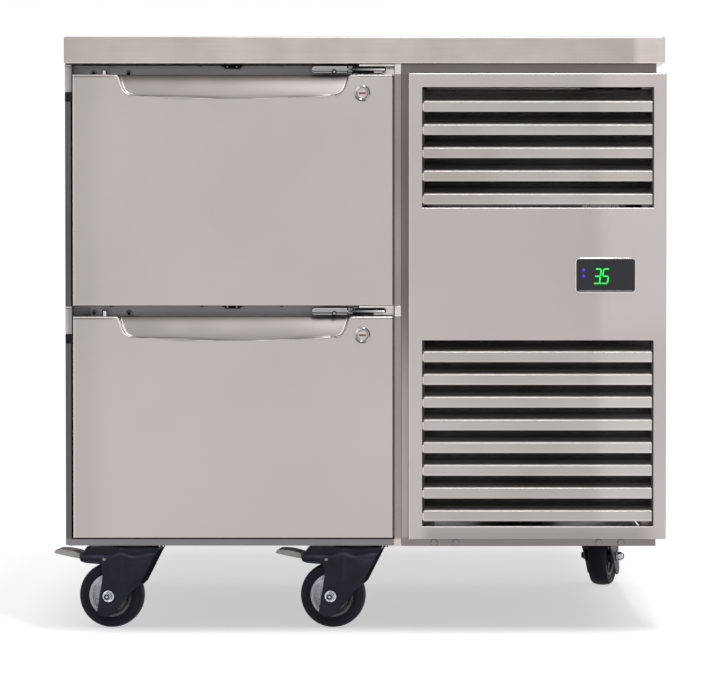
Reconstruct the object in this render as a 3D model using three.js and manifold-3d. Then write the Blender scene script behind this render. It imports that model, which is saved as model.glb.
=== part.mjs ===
import * as THREE from "three";
import { mergeVertices } from "three/addons/utils/BufferGeometryUtils.js";
import Module from "manifold-3d";

// Underbench drawer fridge: two insulated drawers on the left, a condensing unit on the right,
// under one stainless worktop and on four castors.
// Lengths are in millimetres. +Z is up, the front faces -Y, and +X is to the viewer's right.

// Overall size
const benchWidth = 900;
const benchDepth = 700;
const benchHeight = 900;

// Fits, cuts and facets
const fit = 0.3;
const cutOver = 6;
const vertexGrid = 0.01;
const arcSteps = 5;
const roundSides = 20;
const smallSides = 10;
const wheelSides = 32;

// Worktop
const benchEdge = 40;
const benchSheet = 1.5;
const benchReturn = 24;
const benchCorner = 4;

// Cabinet shell of the cold compartment
const caseSheet = 1.2;
const caseSetLeft = 1;
const caseSetBack = 5;
const caseWidth = 504;
const wallSide = 48;
const wallBack = 52;
const wallTop = 37.7;
const wallBottom = 44;
const linerSheet = 1.2;
const linerCorner = 18;

// Heights and fronts of the drawers
const headGap = 16;
const drawerGap = 16;
const baseRailShow = 12;
const upperFrontShare = 0.51;
const frontThick = 40;
const frontEdge = 3.5;
const frontSheet = 1.2;
const drawerSet = 8;
const sideGap = 2.5;

// Front frame of the cold compartment
const frameSet = 10;
const frameSheet = 1.5;
const stileWidth = 8.5;
const mullionWidth = 9.8;
const baseRailGap = 1.5;
const midRailHeight = 46;
const midRailDepth = 44;
const plugRadius = 4.9;
const plugHeight = 3;
const plugPitch = 53;
const plugSet = 9.4;
const plugRise = 2.7;

// Gaskets
const gasketWidth = 11;
const gasketThick = 9;
const gasketMargin = 1.5;
const gasketLip = 3;

// Finger scoop and the channel behind it
const scoopInsetLeft = 68;
const scoopWidth = 348;
const scoopDeepMiddle = 36.5;
const scoopDeepEnds = 30;
const scoopSlopeDepth = 15;
const scoopEndRun = 22;
const channelGap = 4;
const channelWidth = 14;
const channelDeep = 24;
const channelInset = 30;

// Drawer top pin
const pinRadius = 3.6;
const pinHeight = 9;
const pinInset = 45;
const pinSetBack = 32;

// Locks
const lockInset = 46;
const lockDrop = 28;
const lockRingRadius = 12;
const lockRingThick = 2.5;
const lockFaceSet = 0.5;
const lockBodyRadius = 9;
const lockBodyLength = 17;
const rotorRadius = 6.2;
const rotorFaceRadius = 8.2;
const keyWidth = 1.8;
const keyLength = 10;
const keyDeep = 6;
const camLength = 37;
const camWidth = 9;
const camThick = 3;
const camRoom = 1.5;
const camSweep = 16.5;

// Catch above each drawer
const catchLength = 113;
const catchRight = 10;
const catchPlateLength = 54;
const catchPlateThick = 4;
const catchPlateHeight = 11.5;
const catchPlateRound = 6.9;
const catchBossAlong = 32.4;
const catchRise = 2.2;
const catchFrontSet = 7;
const catchShelfThick = 3;
const catchBossRadius = 6;
const catchBossThick = 2;
const catchKnuckleRadius = 5;
const catchArmThick = 4.4;
const catchArmWide = 12;
const catchArmFront = 4;
const catchBlockDrop = 4;
const catchBlockWide = 46;

// Door switches
const switchWide = 24;
const switchDeep = 12;
const switchHigh = 5;
const switchInset = 226;
const switchScrewRadius = 1.25;
const switchScrewProud = 0.6;
const switchScrewShares = [0.25, 0.75];

// Drawer frames
const frameWall = 1.5;
const frameHigh = 145;
const frameBackRoom = 41.5;
const frameLift = 30;
const ledgeWide = 18;
const windowHigh = 34;
const windowPost = 55;
const windowCount = 3;
const windowTopSet = 14;

// Telescopic runners
const runnerDeep = 12.7;
const runnerBackRoom = 43.3;
const runnerHalfHigh = 22.5;
const runnerSheet = 1.2;
const runnerLift = 45;
const runnerFlange = 10.5;
const middleSet = 2.4;
const middleHalfHigh = 18.9;
const innerHalfHigh = 13.5;
const innerFlange = 7.7;
const ballWidth = 3;
const ballInset = 2.6;

// Base pan and castors
const castorHeight = 136;
const panSheet = 1.7;
const panInset = 3;
const wheelRadius = 50;
const wheelWidth = 32;
const castorTrail = 39;
const frontYaw = 171;
const rearLeftYaw = 102;
const rearRightYaw = 73;
const plateQuarter = 90;
const frontCastorInset = 100;
const leftCastorInset = 98.5;
const castorSpacing = 340;
const rearCastorInset = 83;
const rearLeftInset = 44;
const rearRightInset = 58.3;
const plateLong = 105;
const plateWide = 85;
const plateThick = 3;
const plateBoltX = 40;
const plateBoltY = 30;
const boltHeadRadius = 6.5;
const boltHeadHigh = 5.6;
const raceRadius = 36;
const raceGap = 4.7;
const kingpinRadius = 8;
const kingpinHeadRadius = 13;
const kingpinHeadHigh = 5;
const forkGap = 46;
const forkSheet = 2.5;
const crownDrop = 10;
const axleRadius = 6;
const nutRadius = 8.6;
const nutHigh = 12;
const rivetRadius = 3.8;
const rivetProud = 1.5;
const rivetRise = 7;
const rivetReach = 45.7;

// Wheels
const boreGap = 0.3;
const bossRadius = 11;
const webHalf = 9;
const webInner = 27.5;
const rimRadius = 33.2;
const rimHalf = 13;
const tyreBand = 6;
const tyreShoulder = 4;

// Brake pedals
const pedalBarrel = 6;
const pedalReach = 126;
const pedalThick = 5;
const pedalHalfArm = 16;
const pedalHalfPad = 20;
const pedalRise = 9;
const pedalPadStart = 88;

// Condensing-unit bay
const sideSetRight = 12.5;
const panelSheet = 1.5;
const bayFrameWidth = 20;
const bayFrameNarrow = 3;
const bayFrameReturn = 22;
const bayBaseWidth = 30;
const ventPost = 22;
const ventSlotHigh = 6;
const ventPitch = 22;
const ventRows = 10;
const ventColumns = 3;
const ventMargin = 23;
const screwRadius = 4.9;
const screwProud = 2.2;
const screwRise = 5.3;
const screwLeftInsets = [38.5, 70.9];
const screwRightInsets = [100, 67];

// Cover panel
const coverSet = 2.5;
const coverSheet = 1.2;
const coverStileShow = 11;
const coverOverhang = 2.2;
const coverTopSet = 14;
const coverBottomSet = 10.6;
const coverReturn = 6;
const openingInsetLeft = 20.8;
const openingInsetRight = 19.4;
const upperOpeningSet = 21.5;
const upperOpeningShare = 0.257;
const lowerOpeningSet = 20;
const lowerOpeningShare = 0.3983;
const openingReturn = 4.5;

// Louvres
const lipHigh = 14.7;
const slatSheet = 1.2;
const slatSideGap = 1.8;
const lipSet = 0.8;
const bladeRise = 20;
const bladeRun = 20;
const upperPitchShare = 0.193;
const lowerPitchShare = 0.1225;
const upperFirstShare = 0.122;
const lowerFirstShare = 0.0639;
const upperSlats = 5;
const lowerSlats = 8;
const bracketFlange = 10;

// Controller
const displayWide = 88;
const displayHigh = 49.4;
const displayInset = 46.9;
const displayDropShare = 0.11;
const displayCorner = 5;
const displayThick = 1.9;
const displayBodyInset = 4;
const displayBodyDeep = 55;

// Condenser and its fan
const coilWideShare = 0.785;
const coilHigh = 250;
const coilDeep = 44;
const coilSet = 40;
const coilTopSet = 14;
const finPitch = 12;
const finSheet = 1.4;
const finDeep = 12;
const bendRadius = 11;
const tubeRadius = 4.5;
const bendRows = 4;
const shroudSheet = 1.2;
const shroudRingDeep = 42;
const shroudRingWall = 2;
const fanRadiusShare = 0.35;
const fanTipGap = 6;
const fanHubShare = 0.248;
const fanHubDeep = 22;
const fanBladeThick = 1.6;
const fanChordShare = 0.59;
const fanPitchDegrees = 28;
const fanBlades = 5;
const motorRadius = 36;
const motorDeep = 55;
const motorArm = 10;
const shaftRadius = 4;

// Compressor
const compressorRadius = 74;
const compressorHigh = 152;
const compressorBack = 235;
const compressorSheet = 3;
const compressorPlateLong = 200;
const compressorPlateWide = 120;
const footRadius = 13;
const footHigh = 14;
const terminalWide = 42;
const terminalDeep = 26;
const terminalHigh = 48;
const terminalRiseShare = 0.33;

// Evaporator behind the partition, and its air ducts
const evapWall = 18;
const evapWide = 150;
const evapHigh = 280;
const evapTopSet = 12;
const evapDeep = 250;
const evapBackSet = 14;
const evapCoilHigh = 60;
const evapLedgeShare = 1.5;
const evapPlenumHigh = 92;
const evapFanRadius = 58;
const evapFanLift = 12;
const ductLong = 82;
const ductHigh = 60;
const ductInset = 34;

// Places that several pieces share
const benchLeft = -benchWidth / 2;
const benchRight = benchWidth / 2;
const benchFront = -benchDepth / 2;
const benchUnder = benchHeight - benchEdge;
const caseLeft = benchLeft + caseSetLeft;
const caseRight = caseLeft + caseWidth;
const caseBack = benchDepth / 2 - caseSetBack;
const panTop = castorHeight + panSheet;
const caseBottom = panTop + fit;
const caseTop = benchUnder - fit;
const drawerFace = benchFront + drawerSet;
const drawerBack = drawerFace + frontThick;
const sealFace = drawerBack + gasketThick + fit;
const frameFace = benchFront + frameSet;
const shellFront = sealFace + frameSheet + fit;
const cavityLeft = caseLeft + wallSide;
const cavityRight = caseRight - wallSide;
const cavityTop = caseTop - wallTop;
const cavityBottom = caseBottom + wallBottom;
const cavityBack = caseBack - wallBack;
const upperFrontTop = benchUnder - headGap;
const lowerFrontBottom = castorHeight + baseRailShow;
const frontsHigh = upperFrontTop - lowerFrontBottom - drawerGap;
const upperFrontBottom = upperFrontTop - frontsHigh * upperFrontShare;
const lowerFrontTop = upperFrontBottom - drawerGap;
const midRailMiddle = (upperFrontBottom + lowerFrontTop) / 2;
const midRailTop = midRailMiddle + midRailHeight / 2;
const midRailBottom = midRailMiddle - midRailHeight / 2;
const frontLeft = caseLeft + stileWidth + sideGap;
const mullionRight = caseRight;
const mullionLeft = mullionRight - mullionWidth;
const frontRight = mullionLeft - sideGap;
const baseRailTop = lowerFrontBottom - baseRailGap;
const bayLeft = caseRight + fit;
const bayRight = benchRight - sideSetRight;
const coverFace = benchFront + coverSet;
const coverBack = coverFace + coverSheet;
const coverLeft = caseRight + coverStileShow;
const coverRight = benchRight + coverOverhang;
const coverTop = benchUnder - coverTopSet;
const coverBottom = castorHeight + coverBottomSet;
const openingLeft = coverLeft + openingInsetLeft;
const openingRight = coverRight - openingInsetRight;

const drawers = [
  {
    name: "upper",
    top: upperFrontTop,
    bottom: upperFrontBottom,
    openTop: cavityTop,
    openBottom: midRailTop,
  },
  {
    name: "lower",
    top: lowerFrontTop,
    bottom: lowerFrontBottom,
    openTop: midRailBottom,
    openBottom: cavityBottom,
  },
];

// Solids
const wasm = await Module();
wasm.setup();

// A closed three.js geometry as a solid that can be joined and cut. Its vertices lie on a fine
// grid, so that faces meant to be flush are flush.
function solid(geometry) {
  const bare = geometry.clone();
  bare.deleteAttribute("normal");
  bare.deleteAttribute("uv");
  const values = bare.attributes.position.array;
  values.forEach((value, index) => {
    values[index] = Math.round(value / vertexGrid) * vertexGrid;
  });
  const welded = mergeVertices(bare);
  const mesh = new wasm.Mesh({
    numProp: 3,
    vertProperties: new Float32Array(welded.attributes.position.array),
    triVerts: new Uint32Array(welded.index.array),
  });
  return new wasm.Manifold(mesh);
}

function join(first, ...others) {
  return others.reduce((sum, other) => sum.add(other), first);
}

function cut(first, ...others) {
  return others.reduce((rest, other) => rest.subtract(other), first);
}

// A block between two values on each axis.
function block([x0, x1], [y0, y1], [z0, z1]) {
  const box = new THREE.BoxGeometry(x1 - x0, y1 - y0, z1 - z0);
  box.translate((x0 + x1) / 2, (y0 + y1) / 2, (z0 + z1) / 2);
  return solid(box);
}

// A cylinder along Y or Z, between two values on that axis.
function rodY(x, z, radius, [y0, y1], sides = roundSides) {
  const rod = new THREE.CylinderGeometry(radius, radius, y1 - y0, sides);
  rod.translate(x, (y0 + y1) / 2, z);
  return solid(rod);
}

function rodZ(x, y, radius, [z0, z1], sides = roundSides) {
  const rod = new THREE.CylinderGeometry(radius, radius, z1 - z0, sides);
  rod.rotateX(Math.PI / 2);
  rod.translate(x, y, (z0 + z1) / 2);
  return solid(rod);
}

function rodX(y, z, radius, [x0, x1], sides = roundSides) {
  const rod = new THREE.CylinderGeometry(radius, radius, x1 - x0, sides);
  rod.rotateZ(Math.PI / 2);
  rod.translate((x0 + x1) / 2, y, z);
  return solid(rod);
}

// A shape drawn in X and Z, as thick as the stretch of Y.
function prismY(shape, [y0, y1]) {
  const prism = new THREE.ExtrudeGeometry(shape, {
    depth: y1 - y0,
    bevelEnabled: false,
    curveSegments: arcSteps,
  });
  prism.rotateX(Math.PI / 2);
  prism.translate(0, y1, 0);
  return solid(prism);
}

// A shape drawn in Y and Z, as wide as the stretch of X.
function prismX(shape, [x0, x1]) {
  const prism = new THREE.ExtrudeGeometry(shape, {
    depth: x1 - x0,
    bevelEnabled: false,
    curveSegments: arcSteps,
  });
  const turn = new THREE.Matrix4().makeBasis(
    new THREE.Vector3(0, 1, 0),
    new THREE.Vector3(0, 0, 1),
    new THREE.Vector3(1, 0, 0),
  );
  prism.applyMatrix4(turn);
  prism.translate(x0, 0, 0);
  return solid(prism);
}

// A shape drawn in X and Y, as high as the stretch of Z.
function prismZ(shape, [z0, z1]) {
  const prism = new THREE.ExtrudeGeometry(shape, {
    depth: z1 - z0,
    bevelEnabled: false,
    curveSegments: arcSteps,
  });
  prism.translate(0, 0, z0);
  return solid(prism);
}

function polygon(points) {
  return new THREE.Shape(points.map(([a, b]) => new THREE.Vector2(a, b)));
}

function roundedShape([a0, a1], [b0, b1], radius) {
  const shape = new THREE.Shape();
  shape.moveTo(a0 + radius, b0);
  shape.lineTo(a1 - radius, b0);
  shape.absarc(a1 - radius, b0 + radius, radius, -Math.PI / 2, 0);
  shape.lineTo(a1, b1 - radius);
  shape.absarc(a1 - radius, b1 - radius, radius, 0, Math.PI / 2);
  shape.lineTo(a0 + radius, b1);
  shape.absarc(a0 + radius, b1 - radius, radius, Math.PI / 2, Math.PI);
  shape.lineTo(a0, b0 + radius);
  shape.absarc(a0 + radius, b0 + radius, radius, Math.PI, Math.PI * 1.5);
  return shape;
}

// A closed profile of radius and distance, turned round the Y axis.
function turnedY(profile, sides) {
  const points = profile.map(([radius, along]) => new THREE.Vector2(radius, along));
  points.push(points[0].clone());
  return solid(new THREE.LatheGeometry(points, sides));
}

// A rectangular ring of sheet in X and Z.
function ringY([x0, x1], [z0, z1], width, stretch) {
  return cut(
    block([x0, x1], stretch, [z0, z1]),
    block(
      [x0 + width, x1 - width],
      [stretch[0] - cutOver, stretch[1] + cutOver],
      [z0 + width, z1 - width],
    ),
  );
}

// Finishes
function finish(colour, roughness, metalness) {
  return new THREE.MeshStandardMaterial({ color: colour, roughness, metalness });
}

const stainless = finish(0xb9b3ad, 0.38, 1);
const shadedSteel = finish(0x6f6a69, 0.42, 1);
const zinc = finish(0xc9ccd0, 0.3, 1);
const chrome = finish(0xd8dadd, 0.12, 1);
const foam = finish(0xe8dfb4, 0.9, 0);
const linerPlastic = finish(0xdfe2e4, 0.4, 0);
const gasketRubber = finish(0x3a3b3e, 0.7, 0);
const blackPlastic = finish(0x17181c, 0.45, 0);
const displayGloss = finish(0x1c1d22, 0.12, 0);
const finAluminium = finish(0xb4b6b8, 0.45, 1);
const blackPaint = finish(0x16171b, 0.4, 0);
const forkPaint = finish(0x1b1d24, 0.35, 0);
const tyreRubber = finish(0x1d1e25, 0.6, 0);
const wheelPlastic = finish(0xa9abb0, 0.4, 0);
const pedalGrey = finish(0x6e6b66, 0.5, 0);

const fridge = new THREE.Group();

function addPart(parent, name, shape, material) {
  const data = shape.getMesh();
  const geometry = new THREE.BufferGeometry();
  geometry.setAttribute("position", new THREE.BufferAttribute(data.vertProperties, data.numProp));
  geometry.setIndex(new THREE.BufferAttribute(data.triVerts, 1));
  geometry.computeVertexNormals();
  const mesh = new THREE.Mesh(geometry, material);
  mesh.name = name;
  parent.add(mesh);
}

// Worktop: a folded pan, open below inside its turned-in edge.
function buildWorktop() {
  const back = benchDepth / 2;
  const slab = prismZ(
    roundedShape([benchLeft, benchRight], [benchFront, back], benchCorner),
    [benchUnder, benchHeight],
  );
  const hollow = block(
    [benchLeft + benchSheet, benchRight - benchSheet],
    [benchFront + benchSheet, back - benchSheet],
    [benchUnder + benchSheet, benchHeight - benchSheet],
  );
  const mouth = block(
    [benchLeft + benchReturn, benchRight - benchReturn],
    [benchFront + benchReturn, back - benchReturn],
    [benchUnder - cutOver, benchUnder + cutOver],
  );
  addPart(fridge, "worktop", cut(slab, hollow, mouth), stainless);
}

// The two air ducts pass through the right wall of the cold compartment.
const ductMiddle = caseBack - evapBackSet - evapDeep / 2;
const evapTop = caseTop - evapTopSet;
const evapBottom = evapTop - evapHigh;

function ductCuts([x0, x1]) {
  const along = [ductMiddle - ductLong / 2, ductMiddle + ductLong / 2];
  const supplyTop = evapTop - evapWall - ductInset;
  const returnBottom = evapBottom + evapWall + ductInset;
  return [
    block([x0, x1], along, [supplyTop - ductHigh, supplyTop]),
    block([x0, x1], along, [returnBottom, returnBottom + ductHigh]),
  ];
}

// Outer case, foam and liner of the cold compartment.
function buildColdShell() {
  const skin = cut(
    block([caseLeft, caseRight], [shellFront, caseBack], [caseBottom, caseTop]),
    block(
      [caseLeft + caseSheet, caseRight - caseSheet],
      [shellFront - cutOver, caseBack - caseSheet],
      [caseBottom + caseSheet, caseTop - caseSheet],
    ),
  );
  const cheek = block(
    [caseLeft, caseLeft + caseSheet],
    [frameFace + frameSheet + fit, shellFront + cutOver],
    [caseBottom, caseTop],
  );
  const ducts = ductCuts([cavityRight - wallSide, caseRight + cutOver]);
  addPart(fridge, "outer_case", cut(join(skin, cheek), ...ducts), stainless);

  const inner = caseSheet + fit;
  const foamBlock = block(
    [caseLeft + inner, caseRight - inner],
    [shellFront, caseBack - inner],
    [caseBottom + inner, caseTop - inner],
  );
  const grow = linerSheet + fit;
  const room = prismY(
    roundedShape(
      [cavityLeft - grow, cavityRight + grow],
      [cavityBottom - grow, cavityTop + grow],
      linerCorner + grow,
    ),
    [shellFront - cutOver, cavityBack + grow],
  );
  addPart(fridge, "insulation", cut(foamBlock, room, ...ducts), foam);

  const linerOuter = prismY(
    roundedShape(
      [cavityLeft - linerSheet, cavityRight + linerSheet],
      [cavityBottom - linerSheet, cavityTop + linerSheet],
      linerCorner + linerSheet,
    ),
    [shellFront, cavityBack + linerSheet],
  );
  const linerInner = prismY(
    roundedShape([cavityLeft, cavityRight], [cavityBottom, cavityTop], linerCorner),
    [shellFront - cutOver, cavityBack],
  );
  addPart(fridge, "inner_liner", cut(linerOuter, linerInner, ...ducts), linerPlastic);
}

// Section in X and Y of the folded sheet that forms the stile, the sealing plate and the mullion.
function faceSection() {
  const stileRight = caseLeft + stileWidth;
  const plateLeft = caseLeft + caseSheet + fit;
  const faceBack = frameFace + frameSheet;
  const section = polygon([
    [caseLeft, frameFace],
    [stileRight, frameFace],
    [stileRight, sealFace],
    [mullionLeft, sealFace],
    [mullionLeft, frameFace],
    [mullionRight, frameFace],
    [mullionRight, sealFace + frameSheet],
    [plateLeft, sealFace + frameSheet],
    [plateLeft, sealFace],
    [stileRight - frameSheet, sealFace],
    [stileRight - frameSheet, faceBack],
    [caseLeft, faceBack],
  ]);
  section.holes.push(
    polygon([
      [mullionLeft + frameSheet, faceBack],
      [mullionRight - frameSheet, faceBack],
      [mullionRight - frameSheet, sealFace],
      [mullionLeft + frameSheet, sealFace],
    ]),
  );
  return section;
}

// Face frame: the folded sheet with its two openings, the mid rail, the base rail and the plugs.
function buildFaceFrame() {
  const sheet = prismZ(faceSection(), [caseBottom, caseTop]);
  const across = [cavityLeft, cavityRight];
  const through = [sealFace - frameSheet, sealFace + cutOver];
  const upperHole = block(across, through, [midRailTop, cavityTop]);
  const lowerHole = block(across, through, [cavityBottom, midRailBottom]);
  const beam = block(
    [cavityLeft + fit, cavityRight - fit],
    [sealFace + fit, sealFace + midRailDepth],
    [midRailBottom + fit, midRailTop - fit],
  );
  const railLeft = caseLeft + fit;
  const railRight = mullionRight - fit;
  const railFace = frameFace + fit;
  const baseRail = join(
    block([railLeft, railRight], [railFace, railFace + frameSheet], [panTop - fit, baseRailTop]),
    block(
      [railLeft + stileWidth, railRight],
      [railFace, sealFace + fit],
      [baseRailTop - frameSheet, baseRailTop],
    ),
  );
  let frame = join(cut(sheet, upperHole, lowerHole), beam, baseRail);
  for (const drawer of drawers) {
    for (const along of [0, plugPitch]) {
      const plug = rodY(
        cavityLeft - plugSet + along,
        drawer.top + plugRise,
        plugRadius,
        [sealFace - plugHeight, sealFace + frameSheet / 2],
        smallSides,
      );
      frame = join(frame, plug);
    }
  }
  addPart(fridge, "face_frame", frame, shadedSteel);
}

// Pull points of the scoop's curved ends, as shares of their run and of their depth.
const scoopHighShares = [0.25, 0.3];
const scoopLowShares = [0.35, 0.85];

// Scoop: the outline of the pressed recess, cut back along a slope that is deepest at the top.
// The wall of sheet round it is the same shape, grown on every side.
function scoopShape(top, grow) {
  const left = frontLeft + scoopInsetLeft - grow;
  const right = frontLeft + scoopInsetLeft + scoopWidth + grow;
  const middle = (left + right) / 2;
  const ends = scoopDeepEnds + grow;
  const low = scoopDeepMiddle + grow;
  const run = scoopEndRun + grow;
  const outline = new THREE.Shape();
  outline.moveTo(left, top + cutOver);
  outline.lineTo(left, top);
  outline.bezierCurveTo(
    left + run * scoopHighShares[0], top - ends * scoopHighShares[1],
    left + run * scoopLowShares[0], top - ends * scoopLowShares[1],
    left + run, top - ends,
  );
  outline.quadraticCurveTo(middle, top - low * 2 + ends, right - run, top - ends);
  outline.bezierCurveTo(
    right - run * scoopLowShares[0], top - ends * scoopLowShares[1],
    right - run * scoopHighShares[0], top - ends * scoopHighShares[1],
    right, top,
  );
  outline.lineTo(right, top + cutOver);
  const deep = scoopSlopeDepth + grow;
  const wedge = polygon([
    [drawerFace, top - low],
    [drawerFace + grow, top - low],
    [drawerFace + deep, top],
    [drawerFace + deep, top + cutOver],
    [drawerFace - cutOver, top + cutOver],
    [drawerFace - cutOver, top - low],
  ]);
  const pocket = prismY(outline, [drawerFace - cutOver, drawerFace + frontThick]);
  return pocket.intersect(prismX(wedge, [left - cutOver, right + cutOver]));
}

// The openings in a drawer front: scoop, finger channel, lock bore and cam pocket.
function frontOpenings(top, grow) {
  const channelLeft = frontLeft + scoopInsetLeft + channelInset;
  const channelRight = channelLeft + scoopWidth - channelInset * 2;
  const channelFront = drawerFace + scoopSlopeDepth + channelGap;
  const lockZ = top - lockDrop;
  return [
    scoopShape(top, grow),
    block(
      [channelLeft - grow, channelRight + grow],
      [channelFront - grow, channelFront + channelWidth + grow],
      [top - channelDeep - grow, top + cutOver],
    ),
    rodY(lockMiddleX, lockZ, lockBodyRadius + fit + grow, [drawerFace - cutOver, camFront]),
    block(
      [lockMiddleX - camLength - camRoom - grow, lockMiddleX + lockBodyRadius + camRoom + grow],
      [camFront - camRoom - grow, camFront + camThick + camRoom + grow],
      [lockZ - lockBodyRadius - camRoom - grow, top + cutOver],
    ),
  ];
}

// One drawer front: a pressed pan, open at the back, with its openings and top pin.
function buildDrawerFront(drawer) {
  const { top, bottom, name } = drawer;
  const slab = prismX(roundedFrontShape(bottom, top), [frontLeft, frontRight]);
  const hollow = cut(
    block(
      [frontLeft + frontSheet, frontRight - frontSheet],
      [drawerFace + frontSheet, drawerBack + cutOver],
      [bottom + frontSheet, top - frontSheet],
    ),
    ...frontOpenings(top, frontSheet),
  );
  const pin = rodZ(
    frontLeft + pinInset,
    drawerFace + pinSetBack,
    pinRadius,
    [top - frontSheet, top + pinHeight],
    smallSides,
  );
  const front = join(cut(slab, hollow, ...frontOpenings(top, 0)), pin);
  addPart(fridge, `drawer_front_${name}`, front, stainless);
}

// Section of the drawer front in Y and Z, with rounded front edges.
function roundedFrontShape(bottom, top) {
  const shape = new THREE.Shape();
  shape.moveTo(drawerBack, bottom);
  shape.lineTo(drawerBack, top);
  shape.lineTo(drawerFace + frontEdge, top);
  shape.absarc(drawerFace + frontEdge, top - frontEdge, frontEdge, Math.PI / 2, Math.PI);
  shape.lineTo(drawerFace, bottom + frontEdge);
  shape.absarc(drawerFace + frontEdge, bottom + frontEdge, frontEdge, Math.PI, Math.PI * 1.5);
  return shape;
}

// Where the gasket's groove starts and ends, as shares of its thickness.
const grooveShares = [0.3, 0.6];

// Gasket: a hollow-looking ring with a stepped section, round the opening that its drawer closes.
function buildGasket(drawer) {
  const inner = {
    x: [cavityLeft - gasketMargin, cavityRight + gasketMargin],
    z: [drawer.openBottom - gasketMargin, drawer.openTop + gasketMargin],
  };
  const outer = {
    x: [inner.x[0] - gasketWidth, inner.x[1] + gasketWidth],
    z: [inner.z[0] - gasketWidth, inner.z[1] + gasketWidth],
  };
  const back = drawerBack + fit;
  const face = sealFace - fit;
  const bellows = ringY(outer.x, outer.z, gasketWidth, [back, face]);
  const groove = ringY(
    [outer.x[0] - cutOver, outer.x[1] + cutOver],
    [outer.z[0] - cutOver, outer.z[1] + cutOver],
    gasketLip + cutOver,
    grooveShares.map((share) => back + (face - back) * share),
  );
  addPart(fridge, `gasket_${drawer.name}`, cut(bellows, groove), gasketRubber);
}

// Runner sections are drawn from the liner wall inwards; side is 1 on the left and -1 on the right.
const runnerZ = (drawer) => drawer.openBottom + frameLift + runnerLift;
const runnerAlong = [shellFront + fit * 2, cavityBack - runnerBackRoom];
const wallOf = { left: cavityLeft, right: cavityRight };
const sideOf = { left: 1, right: -1 };

function span(side, wall, from, to) {
  const values = [wall + side * from, wall + side * to];
  return values.sort((a, b) => a - b);
}

function channelMember(place, z, webFrom, webTo, flangeFrom, flangeTo, half, along) {
  const side = sideOf[place];
  const wall = wallOf[place];
  const web = block(span(side, wall, webFrom, webTo), along, [z - half, z + half]);
  const flange = span(side, wall, flangeFrom, flangeTo);
  return join(
    web,
    block(flange, along, [z + half - runnerSheet, z + half]),
    block(flange, along, [z - half, z - half + runnerSheet]),
  );
}

function ballStrips(place, z, from, innerHalf, outerHalf, along) {
  const x = span(sideOf[place], wallOf[place], from, from + ballWidth);
  return [
    block(x, along, [z + innerHalf - runnerSheet, z + outerHalf]),
    block(x, along, [z - outerHalf, z - innerHalf + runnerSheet]),
  ];
}

function buildRunners(drawer) {
  const z = runnerZ(drawer);
  for (const place of ["left", "right"]) {
    const outer = channelMember(
      place, z, fit, fit + runnerSheet, fit, fit + runnerFlange, runnerHalfHigh, runnerAlong,
    );
    addPart(fridge, `runner_outer_${drawer.name}_${place}`, outer, zinc);
    const web = fit + middleSet;
    const middle = join(
      channelMember(
        place,
        z,
        web,
        web + runnerSheet,
        web,
        web + runnerFlange - middleSet,
        middleHalfHigh,
        runnerAlong,
      ),
      ...ballStrips(
        place,
        z,
        web + ballInset,
        middleHalfHigh,
        runnerHalfHigh - runnerSheet - fit,
        runnerAlong,
      ),
    );
    addPart(fridge, `runner_middle_${drawer.name}_${place}`, middle, zinc);
  }
}

// Drawer frame: four walls with air windows, a ledge for the food pans, and the inner runner members.
function buildDrawerFrame(drawer) {
  const left = cavityLeft + fit + runnerDeep;
  const right = cavityRight - fit - runnerDeep;
  const front = drawerBack - frameWall;
  const back = cavityBack - frameBackRoom;
  const bottom = drawer.openBottom + frameLift;
  const top = bottom + frameHigh;
  const walls = cut(
    block([left, right], [front, back], [bottom, top]),
    block(
      [left + frameWall, right - frameWall],
      [front + frameWall, back - frameWall],
      [bottom + frameWall, top + cutOver],
    ),
    block(
      [left + ledgeWide, right - ledgeWide],
      [front + ledgeWide, back - ledgeWide],
      [bottom - cutOver, top],
    ),
  );
  const inset = frontSheet + fit;
  const plate = block(
    [frontLeft + inset, frontRight - inset],
    [front, drawerBack],
    [drawer.bottom + inset, drawer.top - inset],
  );
  const windowPitch = (back - front) / windowCount;
  const windows = Array.from({ length: windowCount }, (_, index) => {
    const start = front + windowPitch * index + windowPost / 2;
    return block(
      [left - cutOver, right + cutOver],
      [start, start + windowPitch - windowPost],
      [top - windowTopSet - windowHigh, top - windowTopSet],
    );
  });
  const z = runnerZ(drawer);
  const webStart = fit + runnerDeep - runnerSheet;
  const webEnd = fit + runnerDeep + frameWall / 2;
  const flangeStart = fit + runnerDeep - innerFlange;
  const members = ["left", "right"].flatMap((place) => [
    channelMember(place, z, webStart, webEnd, flangeStart, webEnd, innerHalfHigh, runnerAlong),
    ...ballStrips(
      place,
      z,
      flangeStart + runnerSheet,
      innerHalfHigh,
      middleHalfHigh - runnerSheet - fit,
      runnerAlong,
    ),
  ]);
  const frame = join(plate, cut(walls, ...windows), ...members);
  addPart(fridge, `drawer_frame_${drawer.name}`, frame, stainless);
}

// Lock: a ringed barrel in the drawer front, and a rotor whose cam lifts into the catch.
const lockMiddleX = frontRight - lockInset;
const camFront = drawerFace + lockBodyLength + fit;

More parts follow.
